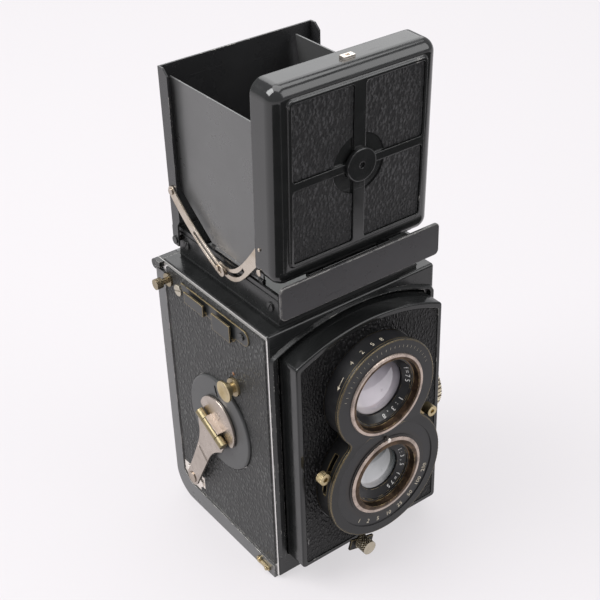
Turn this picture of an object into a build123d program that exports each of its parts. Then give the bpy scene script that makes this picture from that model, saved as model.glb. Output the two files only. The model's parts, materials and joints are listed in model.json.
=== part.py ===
"""Twin lens reflex camera for 6x6 roll film, hood raised and back closed.

Frame: +Z up, lenses look along -Y, crank on the -X side, focusing knob on the +X side.
Origin: underside of the camera, middle of the base. Millimetres.
"""
from build123d import *
from math import atan2, cos, degrees, hypot, pi, radians, sin
import os

os.makedirs("parts", exist_ok=True)

# ---- driving dimensions -------------------------------------------------
BODY_HALF_W = 38.5          # outside of the leather
SHELL_HALF_W = 37.7         # outside of the casting
SHELL_WALL = 1.5
FRONT_Y = -35.7             # front face of the casting
SHELL_REAR_Y = 33.2
DECK_Z = 114.0              # top deck
SHELL_BOTTOM_Z = 1.6
BACK_REAR_Y = 35.0          # outside of the back door plate, under its leather
BACK_SHEET = 1.2
BACK_FLANGE_IN = 37.9       # inside of the door's side flange
BACK_FLANGE_OUT = 38.7
LEATHER = 0.8

TAKE_Z = 45.2               # taking lens axis
VIEW_Z = 82.6               # viewing lens axis
FILM_Y = 28.9               # film plane
FRAME_HALF = 28.0           # 56 mm picture

# front standard
PAN_HALF_W = 33.3
PAN_BOTTOM_Z = 10.5
PAN_CORNER_Z = 103.6
PAN_APEX_Z = 111.2
PAN_BACK_Y = -27.0
PAN_FACE_Y = -45.0          # face under the leather
PAN_BORDER_Y = -45.7        # raised border
PAN_WALL = 1.0
BORDER = 1.9

# lens housing
UPPER_R = 22.3
LOWER_R = 26.4
HOUSING_FACE_Y = -54.2
HOUSING_PLATE = 1.4
HOUSING_WALL = 1.6
RING_R = 16.8
TAKE_RING_R = 16.4
RING_SEAT_R = 16.0

# crank side
CRANK_Y, CRANK_Z = -3.0, 58.0
CRANK_BOSS_R = 19.6
CRANK_BASE_R = 11.4
CRANK_THROW = 44.2
CRANK_REST = 153.2          # arm direction, degrees from +Z towards +Y
HINGE_OFFSET = 2.2          # hinge line to crank axis
HINGE_X = -42.5
ARM_FACE_X = -42.0
BUTTON_Y, BUTTON_Z = -14.0, 81.0
BUTTON_GUIDE_R = 3.6

# film transport
SPOOL_FLANGE_R = 12.4
SPOOL_CORE_R = 5.6
SPOOL_HALF_L = 32.6
TAKEUP_Y, TAKEUP_Z = 20.4, 84.0
SUPPLY_Y, SUPPLY_Z = -13.5, 15.8
ROLLER_Y, ROLLER_Z = 27.2, 9.2
SPOOL_BORE_R = 2.5
SHAFT_FIT = 0.05            # radial clearance of the running fits
GEAR_IN_X, GEAR_OUT_X = -34.7, -35.9
CRANK_TEETH, TAKEUP_TEETH = 46, 24
PLATE_IN_X, PLATE_OUT_X = 33.3, 34.3   # inner side plates

# focusing
KNOB_Y, KNOB_Z = -24.5, 53.0
KNOB_R = 13.0
PINION_R = 3.0
PINION_TEETH = 12

# hood
COLLAR_HALF_W = 31.0
COLLAR_FRONT_Y, COLLAR_REAR_Y = -33.6, 29.0
COLLAR_TOP_Z = 126.7
COLLAR_WALL = 1.2
WALL_X = 30.0               # hinge lines of the folding side walls
WALL_L_HINGE_Z = 127.9
WALL_R_HINGE_Z = 129.4
WALL_HEIGHT = 58.6
WALL_SHEET = 0.6
WALL_R_LEAN = 6.0           # the right wall stands leaning inwards
REAR_HALF_W = 33.0
REAR_TOP_Z = 190.0
LID_HALF_W = 33.7
LID_BOTTOM_Z, LID_TOP_Z = 131.4, 203.4
LID_FACE_Y = -36.9
LID_REAR_Y = -25.0
LID_SHEET = 0.8
LID_LEAN = 1.8
LID_HINGE_Y, LID_HINGE_Z = -33.0, 129.6

# back hinge
BACK_HINGE_Y, BACK_HINGE_Z = 33.6, 111.6
BACK_HINGE_R = 2.0


def front(y, z=0.0, x=0.0):
    """Plane facing the subject: local x is +X, local y is +Z."""
    return Plane(origin=(x, y, z), x_dir=(1, 0, 0), z_dir=(0, -1, 0))


def crank_side(x, y=0.0, z=0.0):
    """Plane on the crank side facing -X: local x is -Y, local y is +Z."""
    return Plane(origin=(x, y, z), x_dir=(0, -1, 0), z_dir=(-1, 0, 0))


def focus_side(x, y=0.0, z=0.0):
    """Plane on the focusing side facing +X: local x is +Y, local y is +Z."""
    return Plane(origin=(x, y, z), x_dir=(0, 1, 0), z_dir=(1, 0, 0))


def outline(plane, points):
    """Closed face through local points of a plane."""
    with BuildSketch(plane) as shape:
        with BuildLine():
            Polyline(*points, close=True)
        make_face()
    return shape.sketch


def arched(plane, half_w, bottom, corner, apex, radius):
    """Rectangle with an arched top, the shape of the front standard."""
    with BuildSketch(plane) as shape:
        with BuildLine():
            Polyline((-half_w, corner), (-half_w, bottom), (half_w, bottom), (half_w, corner))
            ThreePointArc((half_w, corner), (0, apex), (-half_w, corner))
        make_face()
        fillet(shape.vertices(), radius)
    return shape.sketch


def lobes(plane, grow=0.0, waist=2.2):
    """Figure-of-eight outline of the lens housing."""
    with BuildSketch(plane) as shape:
        with Locations((0, VIEW_Z)):
            Circle(UPPER_R + grow)
        with Locations((0, TAKE_Z)):
            Circle(LOWER_R + grow)
        notch = [v for v in shape.vertices() if abs(v.X) > 10]
        fillet(notch, waist)
    return shape.sketch


def gear(plane, teeth, module, phase, thin=0.40):
    """Spur gear outline with straight-sided teeth; phase is one tooth's direction in degrees."""
    pitch_r = module * teeth / 2
    step = 2 * pi / teeth
    points = []
    for i in range(teeth):
        mid = radians(phase) + i * step
        for r, half in ((pitch_r - 1.1 * module, 0.31), (pitch_r + 0.75 * module, 0.11)):
            points.append((r, mid - half * step * thin / 0.5))
        for r, half in ((pitch_r + 0.75 * module, 0.11), (pitch_r - 1.1 * module, 0.31)):
            points.append((r, mid + half * step * thin / 0.5))
    return outline(plane, [(r * cos(a), r * sin(a)) for r, a in points])


def save(piece, name):
    """Label one finished piece and write its STEP file."""
    piece.part.label = name
    export_step(piece.part, f"parts/{name}.step")


AXIS_VIEW = Axis((0, 0, VIEW_Z), (0, 1, 0))
AXIS_TAKE = Axis((0, 0, TAKE_Z), (0, 1, 0))

# ---- body ---------------------------------------------------------------
PAN_OPENING = (PAN_HALF_W + 0.4, PAN_BOTTOM_Z - 0.4, PAN_CORNER_Z + 0.4, PAN_APEX_Z + 0.4)
BUSH_Y = 0.0
BUSH_R = 8.0
SHAFT_R = 3.0
KNUCKLE_IN, KNUCKLE_OUT = 30.3, 40.0
BACK_PIN_R = 0.8

with BuildPart() as body_shell:
    with BuildSketch(Plane.YZ) as side:
        with Locations(((FRONT_Y + SHELL_REAR_Y) / 2, (SHELL_BOTTOM_Z + DECK_Z) / 2)):
            Rectangle(SHELL_REAR_Y - FRONT_Y, DECK_Z - SHELL_BOTTOM_Z)
        fillet(side.vertices().group_by(Axis.Y)[0].sort_by(Axis.X)[-1], 9.5)
    extrude(amount=SHELL_HALF_W, both=True)
    fillet(body_shell.edges().filter_by(Axis.X).group_by(Axis.Z)[-1].sort_by(Axis.Y)[0], 1.0)
    fillet(body_shell.edges().filter_by(Axis.Z).group_by(Axis.Y)[0], 0.8)
    # hollow, open to the rear
    with BuildSketch(Plane.YZ):
        with Locations(((FRONT_Y + SHELL_WALL + 40) / 2, (SHELL_BOTTOM_Z + DECK_Z) / 2)):
            Rectangle(40 - FRONT_Y - SHELL_WALL, DECK_Z - SHELL_BOTTOM_Z - 2 * SHELL_WALL)
    extrude(amount=SHELL_HALF_W - SHELL_WALL, both=True, mode=Mode.SUBTRACT)
    # top rear edge cut back for the barrel of the back hinge
    with Locations((0, BACK_HINGE_Y + 2.0, DECK_Z)):
        Box(2 * SHELL_HALF_W, 9.0, 9.4, mode=Mode.SUBTRACT)
    # outer knuckles of the back hinge, joined to the deck
    for side_x in (-1, 1):
        with BuildSketch(focus_side(side_x * (KNUCKLE_OUT + KNUCKLE_IN) / 2)):
            with Locations((BACK_HINGE_Y, BACK_HINGE_Z)):
                Circle(BACK_HINGE_R)
            with Locations((BACK_HINGE_Y - 1.8, BACK_HINGE_Z + 0.9)):
                Rectangle(3.6, 2.2)
            with Locations((BACK_HINGE_Y, BACK_HINGE_Z)):
                Circle(BACK_PIN_R, mode=Mode.SUBTRACT)
        extrude(amount=(KNUCKLE_OUT - KNUCKLE_IN) / 2, both=True)
    # opening for the front standard, light opening over the mirror
    extrude(arched(front(FRONT_Y + 3), *PAN_OPENING, 1.6), amount=6, mode=Mode.SUBTRACT)
    with Locations((0, -1.4, DECK_Z)):
        Box(54, 52, 8, mode=Mode.SUBTRACT)
    # guide boss of the counter button
    with BuildSketch(crank_side(-SHELL_HALF_W + 0.2, BUTTON_Y, BUTTON_Z)):
        Circle(BUTTON_GUIDE_R)
    extrude(amount=1.8)
    # tripod bush, crank shaft, counter button, knob shafts
    with Locations((0, BUSH_Y, SHELL_BOTTOM_Z)):
        Cylinder(BUSH_R, 4, mode=Mode.SUBTRACT)
    with BuildSketch(crank_side(-SHELL_HALF_W + 3)):
        with Locations((-CRANK_Y, CRANK_Z)):
            Circle(SHAFT_R + 0.05)
        with Locations((-BUTTON_Y, BUTTON_Z)):
            Circle(1.9 + SHAFT_FIT)
    extrude(amount=6, mode=Mode.SUBTRACT)
    with BuildSketch(focus_side(SHELL_HALF_W - 3)):
        with Locations((KNOB_Y, KNOB_Z)):
            Circle(2.05)
        with Locations((TAKEUP_Y, TAKEUP_Z), (SUPPLY_Y, SUPPLY_Z)):
            Circle(SPOOL_BORE_R)
    extrude(amount=5, mode=Mode.SUBTRACT)
save(body_shell, "body_shell")

# Chamber block: side plates, film gate, light cone and mirror bed in one casting
CONE_FRONT_Y = -22.0
CONE_FRONT_HALF = 14.5
MIRROR_LOW = (-21.0, 62.6)
MIRROR_HIGH = (22.6, 106.2)
PLATE_OUTLINE = [(-26.4, 3.1), (27.0, 3.1), (31.5, 9.0), (31.5, 106.0), (27.5, 112.5), (-26.4, 112.5)]
with BuildPart() as chamber_block:
    with BuildSketch(focus_side(PLATE_IN_X)):
        with BuildLine():
            Polyline(*PLATE_OUTLINE, close=True)
        make_face()
        with Locations((KNOB_Y, KNOB_Z)):
            Circle(2.05, mode=Mode.SUBTRACT)
        with Locations((TAKEUP_Y, TAKEUP_Z), (SUPPLY_Y, SUPPLY_Z)):
            Circle(SPOOL_BORE_R, mode=Mode.SUBTRACT)
        with Locations((ROLLER_Y, ROLLER_Z)):
            Circle(1.05, mode=Mode.SUBTRACT)
    extrude(amount=PLATE_OUT_X - PLATE_IN_X)
    with BuildSketch(crank_side(-PLATE_IN_X)):
        with BuildLine():
            Polyline(*[(-y, z) for y, z in PLATE_OUTLINE], close=True)
        make_face()
        with Locations((-TAKEUP_Y, TAKEUP_Z)):
            Circle(3.3, mode=Mode.SUBTRACT)
        with Locations((-ROLLER_Y, ROLLER_Z)):
            Circle(1.05, mode=Mode.SUBTRACT)
    extrude(amount=PLATE_OUT_X - PLATE_IN_X)
    # film gate plate with its opening and two polished rails
    with Locations((0, FILM_Y - 0.6, TAKE_Z)):
        Box(2 * PLATE_IN_X, 0.8, 57.2)
    with Locations((-30.4, FILM_Y - 0.1, TAKE_Z), (30.4, FILM_Y - 0.1, TAKE_Z)):
        Box(2.0, 0.4, 57.2)
    # light cone
    with BuildSketch(front(FILM_Y - 0.8, TAKE_Z)):
        Rectangle(2 * FRAME_HALF + 2.4, 2 * FRAME_HALF + 2.4)
    with BuildSketch(front(CONE_FRONT_Y, TAKE_Z)):
        Rectangle(2 * CONE_FRONT_HALF + 2.4, 2 * CONE_FRONT_HALF + 2.4)
    loft()
    with BuildSketch(front(FILM_Y + 0.2, TAKE_Z)):
        Rectangle(2 * FRAME_HALF, 2 * FRAME_HALF)
    with BuildSketch(front(CONE_FRONT_Y - 0.1, TAKE_Z)):
        Rectangle(2 * CONE_FRONT_HALF, 2 * CONE_FRONT_HALF)
    loft(mode=Mode.SUBTRACT)
    # mirror bed at 45 degrees
    bed = outline(Plane.YZ, [MIRROR_LOW, MIRROR_HIGH,
                             (MIRROR_HIGH[0] + 0.85, MIRROR_HIGH[1] - 0.85),
                             (MIRROR_LOW[0] + 0.85, MIRROR_LOW[1] - 0.85)])
    extrude(bed, amount=PLATE_IN_X, both=True)
    # fixed stub that carries the supply spool on the crank side
    with BuildSketch(focus_side(-PLATE_IN_X, SUPPLY_Y, SUPPLY_Z)):
        Circle(SPOOL_BORE_R - SHAFT_FIT)
    extrude(amount=4.5)
save(chamber_block, "chamber_block")

with BuildPart() as reflex_mirror:
    with BuildSketch(Plane(origin=(0, *MIRROR_LOW), x_dir=(1, 0, 0), z_dir=(0, -1, 1))):
        with BuildLine():
            Polyline((-19, 0.8), (19, 0.8), (29, 60.8), (-29, 60.8), close=True)
        make_face()
    extrude(amount=1.6)
save(reflex_mirror, "reflex_mirror")

with BuildPart() as focusing_screen:
    with Locations((0, -1.4, DECK_Z + 0.8)):
        Box(57, 57, 1.6)
    chamfer(focusing_screen.edges().group_by(Axis.Z)[-1], 0.3)
save(focusing_screen, "focusing_screen")

# Raised bead round the opening of the front standard
BEAD_OUT, BEAD_IN = 37.5, 35.1
with BuildPart() as front_bead:
    ring = arched(front(FRONT_Y), BEAD_OUT, 9.6, 104.8, 113.5, 3.0)
    gap = arched(front(FRONT_Y), BEAD_IN - 0.4, 0.0, 104.1, 111.8, 2.0)
    extrude(ring, amount=1.5, taper=24)
    extrude(gap, amount=1.6, taper=-24, mode=Mode.SUBTRACT)
save(front_bead, "front_bead")

# Side leathers, cut round every fitting
FLANGE_REAR_Y = 29.3
with BuildPart() as crank_leather:
    with BuildSketch(crank_side(-SHELL_HALF_W)) as skin:
        with BuildLine():
            Polyline((34.5, 112.4), (34.5, 7.4), (-23.6, 10.3), (-27.8, 13.4), (-27.8, 112.4), close=True)
        make_face()
        fillet(skin.vertices().sort_by(Axis.X)[0:2].sort_by(Axis.Y)[0], 2.0)
        with Locations((-CRANK_Y, CRANK_Z)):
            Circle(CRANK_BOSS_R + 0.3, mode=Mode.SUBTRACT)
        with Locations((-BUTTON_Y, BUTTON_Z)):
            Circle(BUTTON_GUIDE_R + 0.3, mode=Mode.SUBTRACT)
        with BuildLine():
            Polyline((-16.9, 9.0), (-16.9, 11.2), (-13.6, 11.2), (-13.6, 18.1), (-22.6, 18.8), (-29.0, 18.4),
                     (-29.0, 9.0), close=True)
        make_face(mode=Mode.SUBTRACT)
    extrude(amount=LEATHER)
save(crank_leather, "crank_side_leather")

with BuildPart() as focus_leather:
    with BuildSketch(focus_side(SHELL_HALF_W)) as skin:
        with BuildLine():
            Polyline((-34.5, 112.4), (-34.5, 7.4), (23.6, 10.3), (27.8, 13.4), (27.8, 112.4), close=True)
        make_face()
        with Locations((KNOB_Y, KNOB_Z)):
            Circle(6.3, mode=Mode.SUBTRACT)
        with Locations((TAKEUP_Y, TAKEUP_Z), (SUPPLY_Y, SUPPLY_Z)):
            Circle(5.3, mode=Mode.SUBTRACT)
    extrude(amount=LEATHER)
save(focus_leather, "focus_side_leather")

# Tripod bush, set in the bottom of the casting
BUSH_THREAD_R = 4.76
with BuildPart() as tripod_bush:
    with Locations((0, BUSH_Y, 0)):
        Cylinder(BUSH_R, 3.1, align=(Align.CENTER, Align.CENTER, Align.MIN))
        Cylinder(BUSH_THREAD_R, 3.1, align=(Align.CENTER, Align.CENTER, Align.MIN), mode=Mode.SUBTRACT)
    with Locations((0, BUSH_Y, 3.1)):
        Cylinder(BUSH_R + 2.5, 4.2, align=(Align.CENTER, Align.CENTER, Align.MIN))
        Cylinder(BUSH_THREAD_R, 4.2, align=(Align.CENTER, Align.CENTER, Align.MIN), mode=Mode.SUBTRACT)
    chamfer(tripod_bush.edges().filter_by(GeomType.CIRCLE).sort_by(Axis.Z)[0:2], 0.3)
save(tripod_bush, "tripod_bush")

# ---- fittings of the crank side ------------------------------------------
with BuildPart() as crank_boss:
    with BuildSketch(crank_side(-SHELL_HALF_W, CRANK_Y, CRANK_Z)):
        Circle(CRANK_BOSS_R)
    extrude(amount=1.8)
    fillet(crank_boss.edges().filter_by(GeomType.CIRCLE).sort_by(Axis.X)[0], 0.8)
    with BuildSketch(crank_side(-SHELL_HALF_W, CRANK_Y, CRANK_Z)):
        Circle(SHAFT_R + 0.05)
        with PolarLocations(14.4, 1, 92):
            SlotOverall(5.2, 1.1, rotation=12)
    extrude(amount=2, mode=Mode.SUBTRACT)
save(crank_boss, "crank_boss")

CLIP_POINTS = [(-17.3, 9.0), (-17.3, 11.6), (-14.0, 11.6), (-14.0, 17.7), (-22.4, 18.4), (-29.0, 18.0),
               (-29.0, 13.0), (-24.0, 9.2)]
with BuildPart() as crank_clip:
    with BuildSketch(crank_side(-SHELL_HALF_W)):
        with BuildLine():
            Polyline(*CLIP_POINTS, close=True)
        make_face()
    extrude(amount=0.6)
    with BuildSketch(crank_side(-SHELL_HALF_W - 0.5)):
        with Locations((-24.8, 16.2), (-16.6, 13.4)):
            Circle(1.7)
    extrude(amount=0.6)
save(crank_clip, "crank_clip_plate")

# Accessory shoe along the top of the crank side: strip with two raised tabs
SHOE_FACE_X = -BODY_HALF_W - 0.5
with BuildPart() as side_shoe:
    with BuildSketch(crank_side(-BODY_HALF_W)):
        with BuildLine():
            Polyline((-17.0, 110.6), (-17.0, 108.4), (-13.2, 104.6), (5.0, 104.6), (5.0, 102.4), (16.4, 102.4),
                     (17.8, 104.4), (22.6, 104.4))
            ThreePointArc((22.6, 104.4), (25.9, 107.4), (23.6, 110.6))
            Line((23.6, 110.6), (-17.0, 110.6))
        make_face()
    extrude(amount=0.5)
    with BuildSketch(crank_side(SHOE_FACE_X)):
        for a, b, low in ((-13.0, -0.6, 104.7), (5.0, 16.2, 102.5)):
            with Locations(((a + b) / 2, (low + 109.3) / 2)):
                Rectangle(b - a, 109.3 - low)
    extrude(amount=1.5)
    with BuildSketch(crank_side(SHOE_FACE_X)):
        for a, b, low in ((-13.0, -0.6, 104.7), (5.0, 16.2, 102.5)):
            with Locations(((a + b) / 2, (low + 1.2 + 110.0) / 2)):
                Rectangle(b - a + 0.4, 110.0 - low - 1.2)
    extrude(amount=0.8, mode=Mode.SUBTRACT)
save(side_shoe, "side_shoe")

STUD_Y, STUD_Z = 26.2, 107.6
with BuildPart() as strap_studs:
    for side_plane in (crank_side, focus_side):
        sign = -1 if side_plane is crank_side else 1
        stud = side_plane(sign * BODY_HALF_W, STUD_Y, STUD_Z)
        with BuildSketch(stud):
            Circle(2.7)
        extrude(amount=0.9)
        with BuildSketch(stud):
            Circle(1.2)
        extrude(amount=4.4)
        with BuildSketch(side_plane(sign * (BODY_HALF_W + 3.6), STUD_Y, STUD_Z)):
            Circle(2.1)
        extrude(amount=2.6)
save(strap_studs, "strap_studs")

with BuildPart() as counter_button:
    profile = outline(Plane.XY, [(-42.7, 0), (-42.7, 1.2), (-43.3, 3.2), (-43.3, 4.2), (-42.5, 4.2),
                                 (-41.9, 2.6), (-40.7, 2.6), (-40.7, 1.9), (-37.3, 1.9), (-37.3, 0)])
    placed = Location((0, BUTTON_Y, BUTTON_Z)) * profile
    revolve(placed, axis=Axis((0, BUTTON_Y, BUTTON_Z), (1, 0, 0)))
save(counter_button, "counter_button")

# ---- crank ---------------------------------------------------------------
# Local frame of the folded crank: origin on the crank axis, local x along the arm,
# local y along the hinge line, outwards is -X of the camera.
ARM_ANGLE = radians(CRANK_REST)
ARM_DIR = (0, sin(ARM_ANGLE), cos(ARM_ANGLE))


def crank_plane(x):
    """Plane normal to the crank axis with local x along the folded arm."""
    return Plane(origin=(x, CRANK_Y, CRANK_Z), x_dir=ARM_DIR, z_dir=(-1, 0, 0))


HINGE_R = 1.7
KNUCKLE_HALF = 8.8
MID_KNUCKLE_HALF = 4.4
HINGE_PIN_R = 0.6
HINGE_LINE = Plane(origin=(HINGE_X, CRANK_Y + HINGE_OFFSET * ARM_DIR[1], CRANK_Z + HINGE_OFFSET * ARM_DIR[2]),
                   x_dir=ARM_DIR, z_dir=crank_plane(0).y_dir)

with BuildPart() as crank_base:
    with BuildSketch(crank_plane(-39.8)) as disc:
        Circle(CRANK_BASE_R)
        with Locations((HINGE_OFFSET - 0.5 + 10, 0)):
            Rectangle(20, 30, mode=Mode.SUBTRACT)
        fillet(disc.vertices(), 1.6)
    extrude(amount=1.0)
    fillet(crank_base.faces().sort_by(Axis.X)[0].edges(), 0.3)
    # middle knuckle on its riser
    with BuildSketch(HINGE_LINE.offset(-MID_KNUCKLE_HALF)):
        Circle(HINGE_R)
        with Locations((-1.4, 0.7)):
            Rectangle(2.6, 2.6)
        Circle(HINGE_PIN_R + 0.04, mode=Mode.SUBTRACT)
    extrude(amount=2 * MID_KNUCKLE_HALF)
    # shaft through the boss and the casting
    with BuildSketch(crank_plane(-39.8)):
        Circle(SHAFT_R)
    extrude(amount=-4.3)
    # screw seat
    with BuildSketch(crank_plane(-40.8)):
        with Locations((-4.8, -0.6)):
            Circle(1.5)
            Circle(1.25, mode=Mode.SUBTRACT)
    extrude(amount=-0.3, mode=Mode.SUBTRACT)
save(crank_base, "crank_base")

GEAR_CENTRES = hypot(TAKEUP_Y - CRANK_Y, TAKEUP_Z - CRANK_Z)
GEAR_MODULE = 2 * GEAR_CENTRES / (CRANK_TEETH + TAKEUP_TEETH)
GEAR_LINE = degrees(atan2(TAKEUP_Z - CRANK_Z, -(TAKEUP_Y - CRANK_Y)))
with BuildPart() as crank_gear:
    extrude(gear(crank_side(GEAR_IN_X, CRANK_Y, CRANK_Z), CRANK_TEETH, GEAR_MODULE, GEAR_LINE),
            amount=GEAR_IN_X - GEAR_OUT_X)
    with BuildSketch(crank_side(GEAR_IN_X, CRANK_Y, CRANK_Z)):
        Circle(SHAFT_R)
        with PolarLocations(12.5, 5):
            Circle(4.6)
    extrude(amount=2, mode=Mode.SUBTRACT)
save(crank_gear, "crank_gear")

with BuildPart() as crank_pin:
    with BuildSketch(HINGE_LINE.offset(-KNUCKLE_HALF)):
        Circle(HINGE_PIN_R)
    extrude(amount=2 * KNUCKLE_HALF)
save(crank_pin, "crank_hinge_pin")

ARM_SHEET = 0.9
TIP_R = 3.6
with BuildPart() as crank_arm:
    with BuildSketch(crank_plane(ARM_FACE_X)):
        with BuildLine():
            Polyline((HINGE_OFFSET + 0.2, -KNUCKLE_HALF), (HINGE_OFFSET + 6.0, -KNUCKLE_HALF + 0.4))
            Spline((HINGE_OFFSET + 6.0, -KNUCKLE_HALF + 0.4), (HINGE_OFFSET + 13.0, -4.9), (24.0, -3.9),
                   (CRANK_THROW, -TIP_R + 0.1), tangents=((0.9, 0.6), (1, 0)))
            Line((CRANK_THROW, -TIP_R + 0.1), (CRANK_THROW, TIP_R - 0.1))
            Spline((CRANK_THROW, TIP_R - 0.1), (24.0, 3.9), (HINGE_OFFSET + 13.0, 4.9),
                   (HINGE_OFFSET + 6.0, KNUCKLE_HALF - 0.4), tangents=((-1, 0), (-0.9, 0.6)))
            Polyline((HINGE_OFFSET + 6.0, KNUCKLE_HALF - 0.4), (HINGE_OFFSET + 0.2, KNUCKLE_HALF),
                     (HINGE_OFFSET + 0.2, -KNUCKLE_HALF))
        make_face()
        with Locations((CRANK_THROW, 0)):
            Circle(TIP_R)
        with Locations((HINGE_OFFSET, 0)):
            Rectangle(4.0, 2 * MID_KNUCKLE_HALF + 0.4, mode=Mode.SUBTRACT)
        with Locations((CRANK_THROW, 0)):
            Circle(0.9, mode=Mode.SUBTRACT)
    extrude(amount=-ARM_SHEET)
    for end in (-1, 1):
        start = -KNUCKLE_HALF if end < 0 else MID_KNUCKLE_HALF + 0.2
        with BuildSketch(HINGE_LINE.offset(start)):
            Circle(HINGE_R)
        extrude(amount=KNUCKLE_HALF - MID_KNUCKLE_HALF - 0.2)
        with BuildSketch(HINGE_LINE.offset(start)):
            Circle(HINGE_PIN_R)
        extrude(amount=KNUCKLE_HALF - MID_KNUCKLE_HALF - 0.2, mode=Mode.SUBTRACT)
    # stiffening rib pressed across the neck
    with BuildSketch(crank_plane(ARM_FACE_X)):
        with Locations(Location((23.3, 0.3), -17)):
            Rectangle(1.5, 7.2)
    extrude(amount=0.3, taper=30)
save(crank_arm, "crank_arm")

with BuildPart() as crank_handle:
    with BuildSketch(crank_plane(ARM_FACE_X + ARM_SHEET + 0.1)):
        with Locations((CRANK_THROW, 0)):
            Circle(2.7)
    extrude(amount=-1.9)
    fillet(crank_handle.edges().filter_by(GeomType.CIRCLE), 0.4)
    with BuildSketch(crank_plane(ARM_FACE_X - 0.3)):
        with Locations((CRANK_THROW, 0)):
            Circle(0.84)
    extrude(amount=-ARM_SHEET - 0.5)
    with BuildSketch(crank_plane(ARM_FACE_X - 0.05)):
        with Locations((CRANK_THROW, 0)):
            Circle(2.4)
    extrude(amount=0.35)
save(crank_handle, "crank_handle")

# ---- film transport ------------------------------------------------------
def spool_profile(y, z):
    """Half section of a metal roll-film spool about its own axis."""
    half, flange = SPOOL_HALF_L, 0.8
    return outline(Plane(origin=(0, y, z), x_dir=(1, 0, 0), z_dir=(0, -1, 0)),
                   [(-half, SPOOL_BORE_R), (-half, SPOOL_FLANGE_R), (-half + flange, SPOOL_FLANGE_R),
                    (-half + flange, SPOOL_CORE_R), (half - flange, SPOOL_CORE_R),
                    (half - flange, SPOOL_FLANGE_R), (half, SPOOL_FLANGE_R), (half, SPOOL_BORE_R)])


with BuildPart() as takeup_spool:
    revolve(spool_profile(TAKEUP_Y, TAKEUP_Z), axis=Axis((0, TAKEUP_Y, TAKEUP_Z), (1, 0, 0)))
    with Locations((0, TAKEUP_Y, TAKEUP_Z)):
        Box(50, 1.2, 14, mode=Mode.SUBTRACT)
save(takeup_spool, "takeup_spool")

with BuildPart() as supply_spool:
    revolve(spool_profile(SUPPLY_Y, SUPPLY_Z), axis=Axis((0, SUPPLY_Y, SUPPLY_Z), (1, 0, 0)))
    with Locations((0, SUPPLY_Y, SUPPLY_Z)):
        Box(50, 1.2, 14, mode=Mode.SUBTRACT)
save(supply_spool, "supply_spool")

with BuildPart() as takeup_gear:
    extrude(gear(crank_side(GEAR_IN_X, TAKEUP_Y, TAKEUP_Z), TAKEUP_TEETH, GEAR_MODULE,
                 GEAR_LINE + 180 + 180 / TAKEUP_TEETH), amount=GEAR_IN_X - GEAR_OUT_X)
    with BuildSketch(crank_side(GEAR_OUT_X, TAKEUP_Y, TAKEUP_Z)):
        Circle(3.25)
    extrude(amount=GEAR_OUT_X + SPOOL_HALF_L + 0.2)
    with BuildSketch(crank_side(GEAR_OUT_X, TAKEUP_Y, TAKEUP_Z)):
        Circle(SPOOL_BORE_R - SHAFT_FIT)
    extrude(amount=GEAR_OUT_X + SPOOL_HALF_L - 2.5)
save(takeup_gear, "takeup_gear")

with BuildPart() as film_roller:
    with BuildSketch(focus_side(-PLATE_OUT_X, ROLLER_Y, ROLLER_Z)):
        Circle(1.0)
    extrude(amount=2 * PLATE_OUT_X)
    with BuildSketch(focus_side(-SPOOL_HALF_L + 0.4, ROLLER_Y, ROLLER_Z)):
        Circle(2.6)
    extrude(amount=2 * SPOOL_HALF_L - 0.8)
    for end in (-SPOOL_HALF_L + 0.4, SPOOL_HALF_L - 1.6):
        with BuildSketch(focus_side(end, ROLLER_Y, ROLLER_Z)):
            Circle(3.0)
        extrude(amount=1.2)
save(film_roller, "film_roller")

for name, y, z in (("takeup_spool_knob", TAKEUP_Y, TAKEUP_Z), ("supply_spool_knob", SUPPLY_Y, SUPPLY_Z)):
    with BuildPart() as spool_knob:
        with BuildSketch(focus_side(SHELL_HALF_W + 0.2, y, z)):
            Circle(5.0)
            with PolarLocations(5.0, 30):
                Circle(0.22, mode=Mode.SUBTRACT)
        extrude(amount=3.6)
        fillet(spool_knob.faces().sort_by(Axis.X)[-1].outer_wire().edges(), 0.15)
        with BuildSketch(focus_side(SHELL_HALF_W + 0.2, y, z)):
            Circle(SPOOL_BORE_R - SHAFT_FIT)
        extrude(amount=-7.6)
    save(spool_knob, name)

# ---- focusing knob -------------------------------------------------------
with BuildPart() as focus_scale:
    with BuildSketch(focus_side(BODY_HALF_W, KNOB_Y, KNOB_Z)):
        Circle(KNOB_R - 0.6)
        Circle(2.05, mode=Mode.SUBTRACT)
    extrude(amount=1.0)
save(focus_scale, "focus_scale")

RACK_MODULE = 2 * PINION_R / PINION_TEETH
with BuildPart() as focus_knob:
    with BuildSketch(focus_side(BODY_HALF_W + 1.2, KNOB_Y, KNOB_Z)):
        Circle(KNOB_R)
        with PolarLocations(KNOB_R, 72):
            Circle(0.3, mode=Mode.SUBTRACT)
    extrude(amount=3.2)
    with BuildSketch(focus_side(BODY_HALF_W + 4.4, KNOB_Y, KNOB_Z)):
        Circle(KNOB_R - 2.4)
    extrude(amount=-0.8, mode=Mode.SUBTRACT)
    with BuildSketch(focus_side(BODY_HALF_W + 1.3, KNOB_Y, KNOB_Z)):
        Circle(2.0)
    extrude(amount=-12.2)
    extrude(gear(focus_side(27.6, KNOB_Y, KNOB_Z), PINION_TEETH, RACK_MODULE, 90), amount=3.6)
save(focus_knob, "focus_knob")

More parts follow.
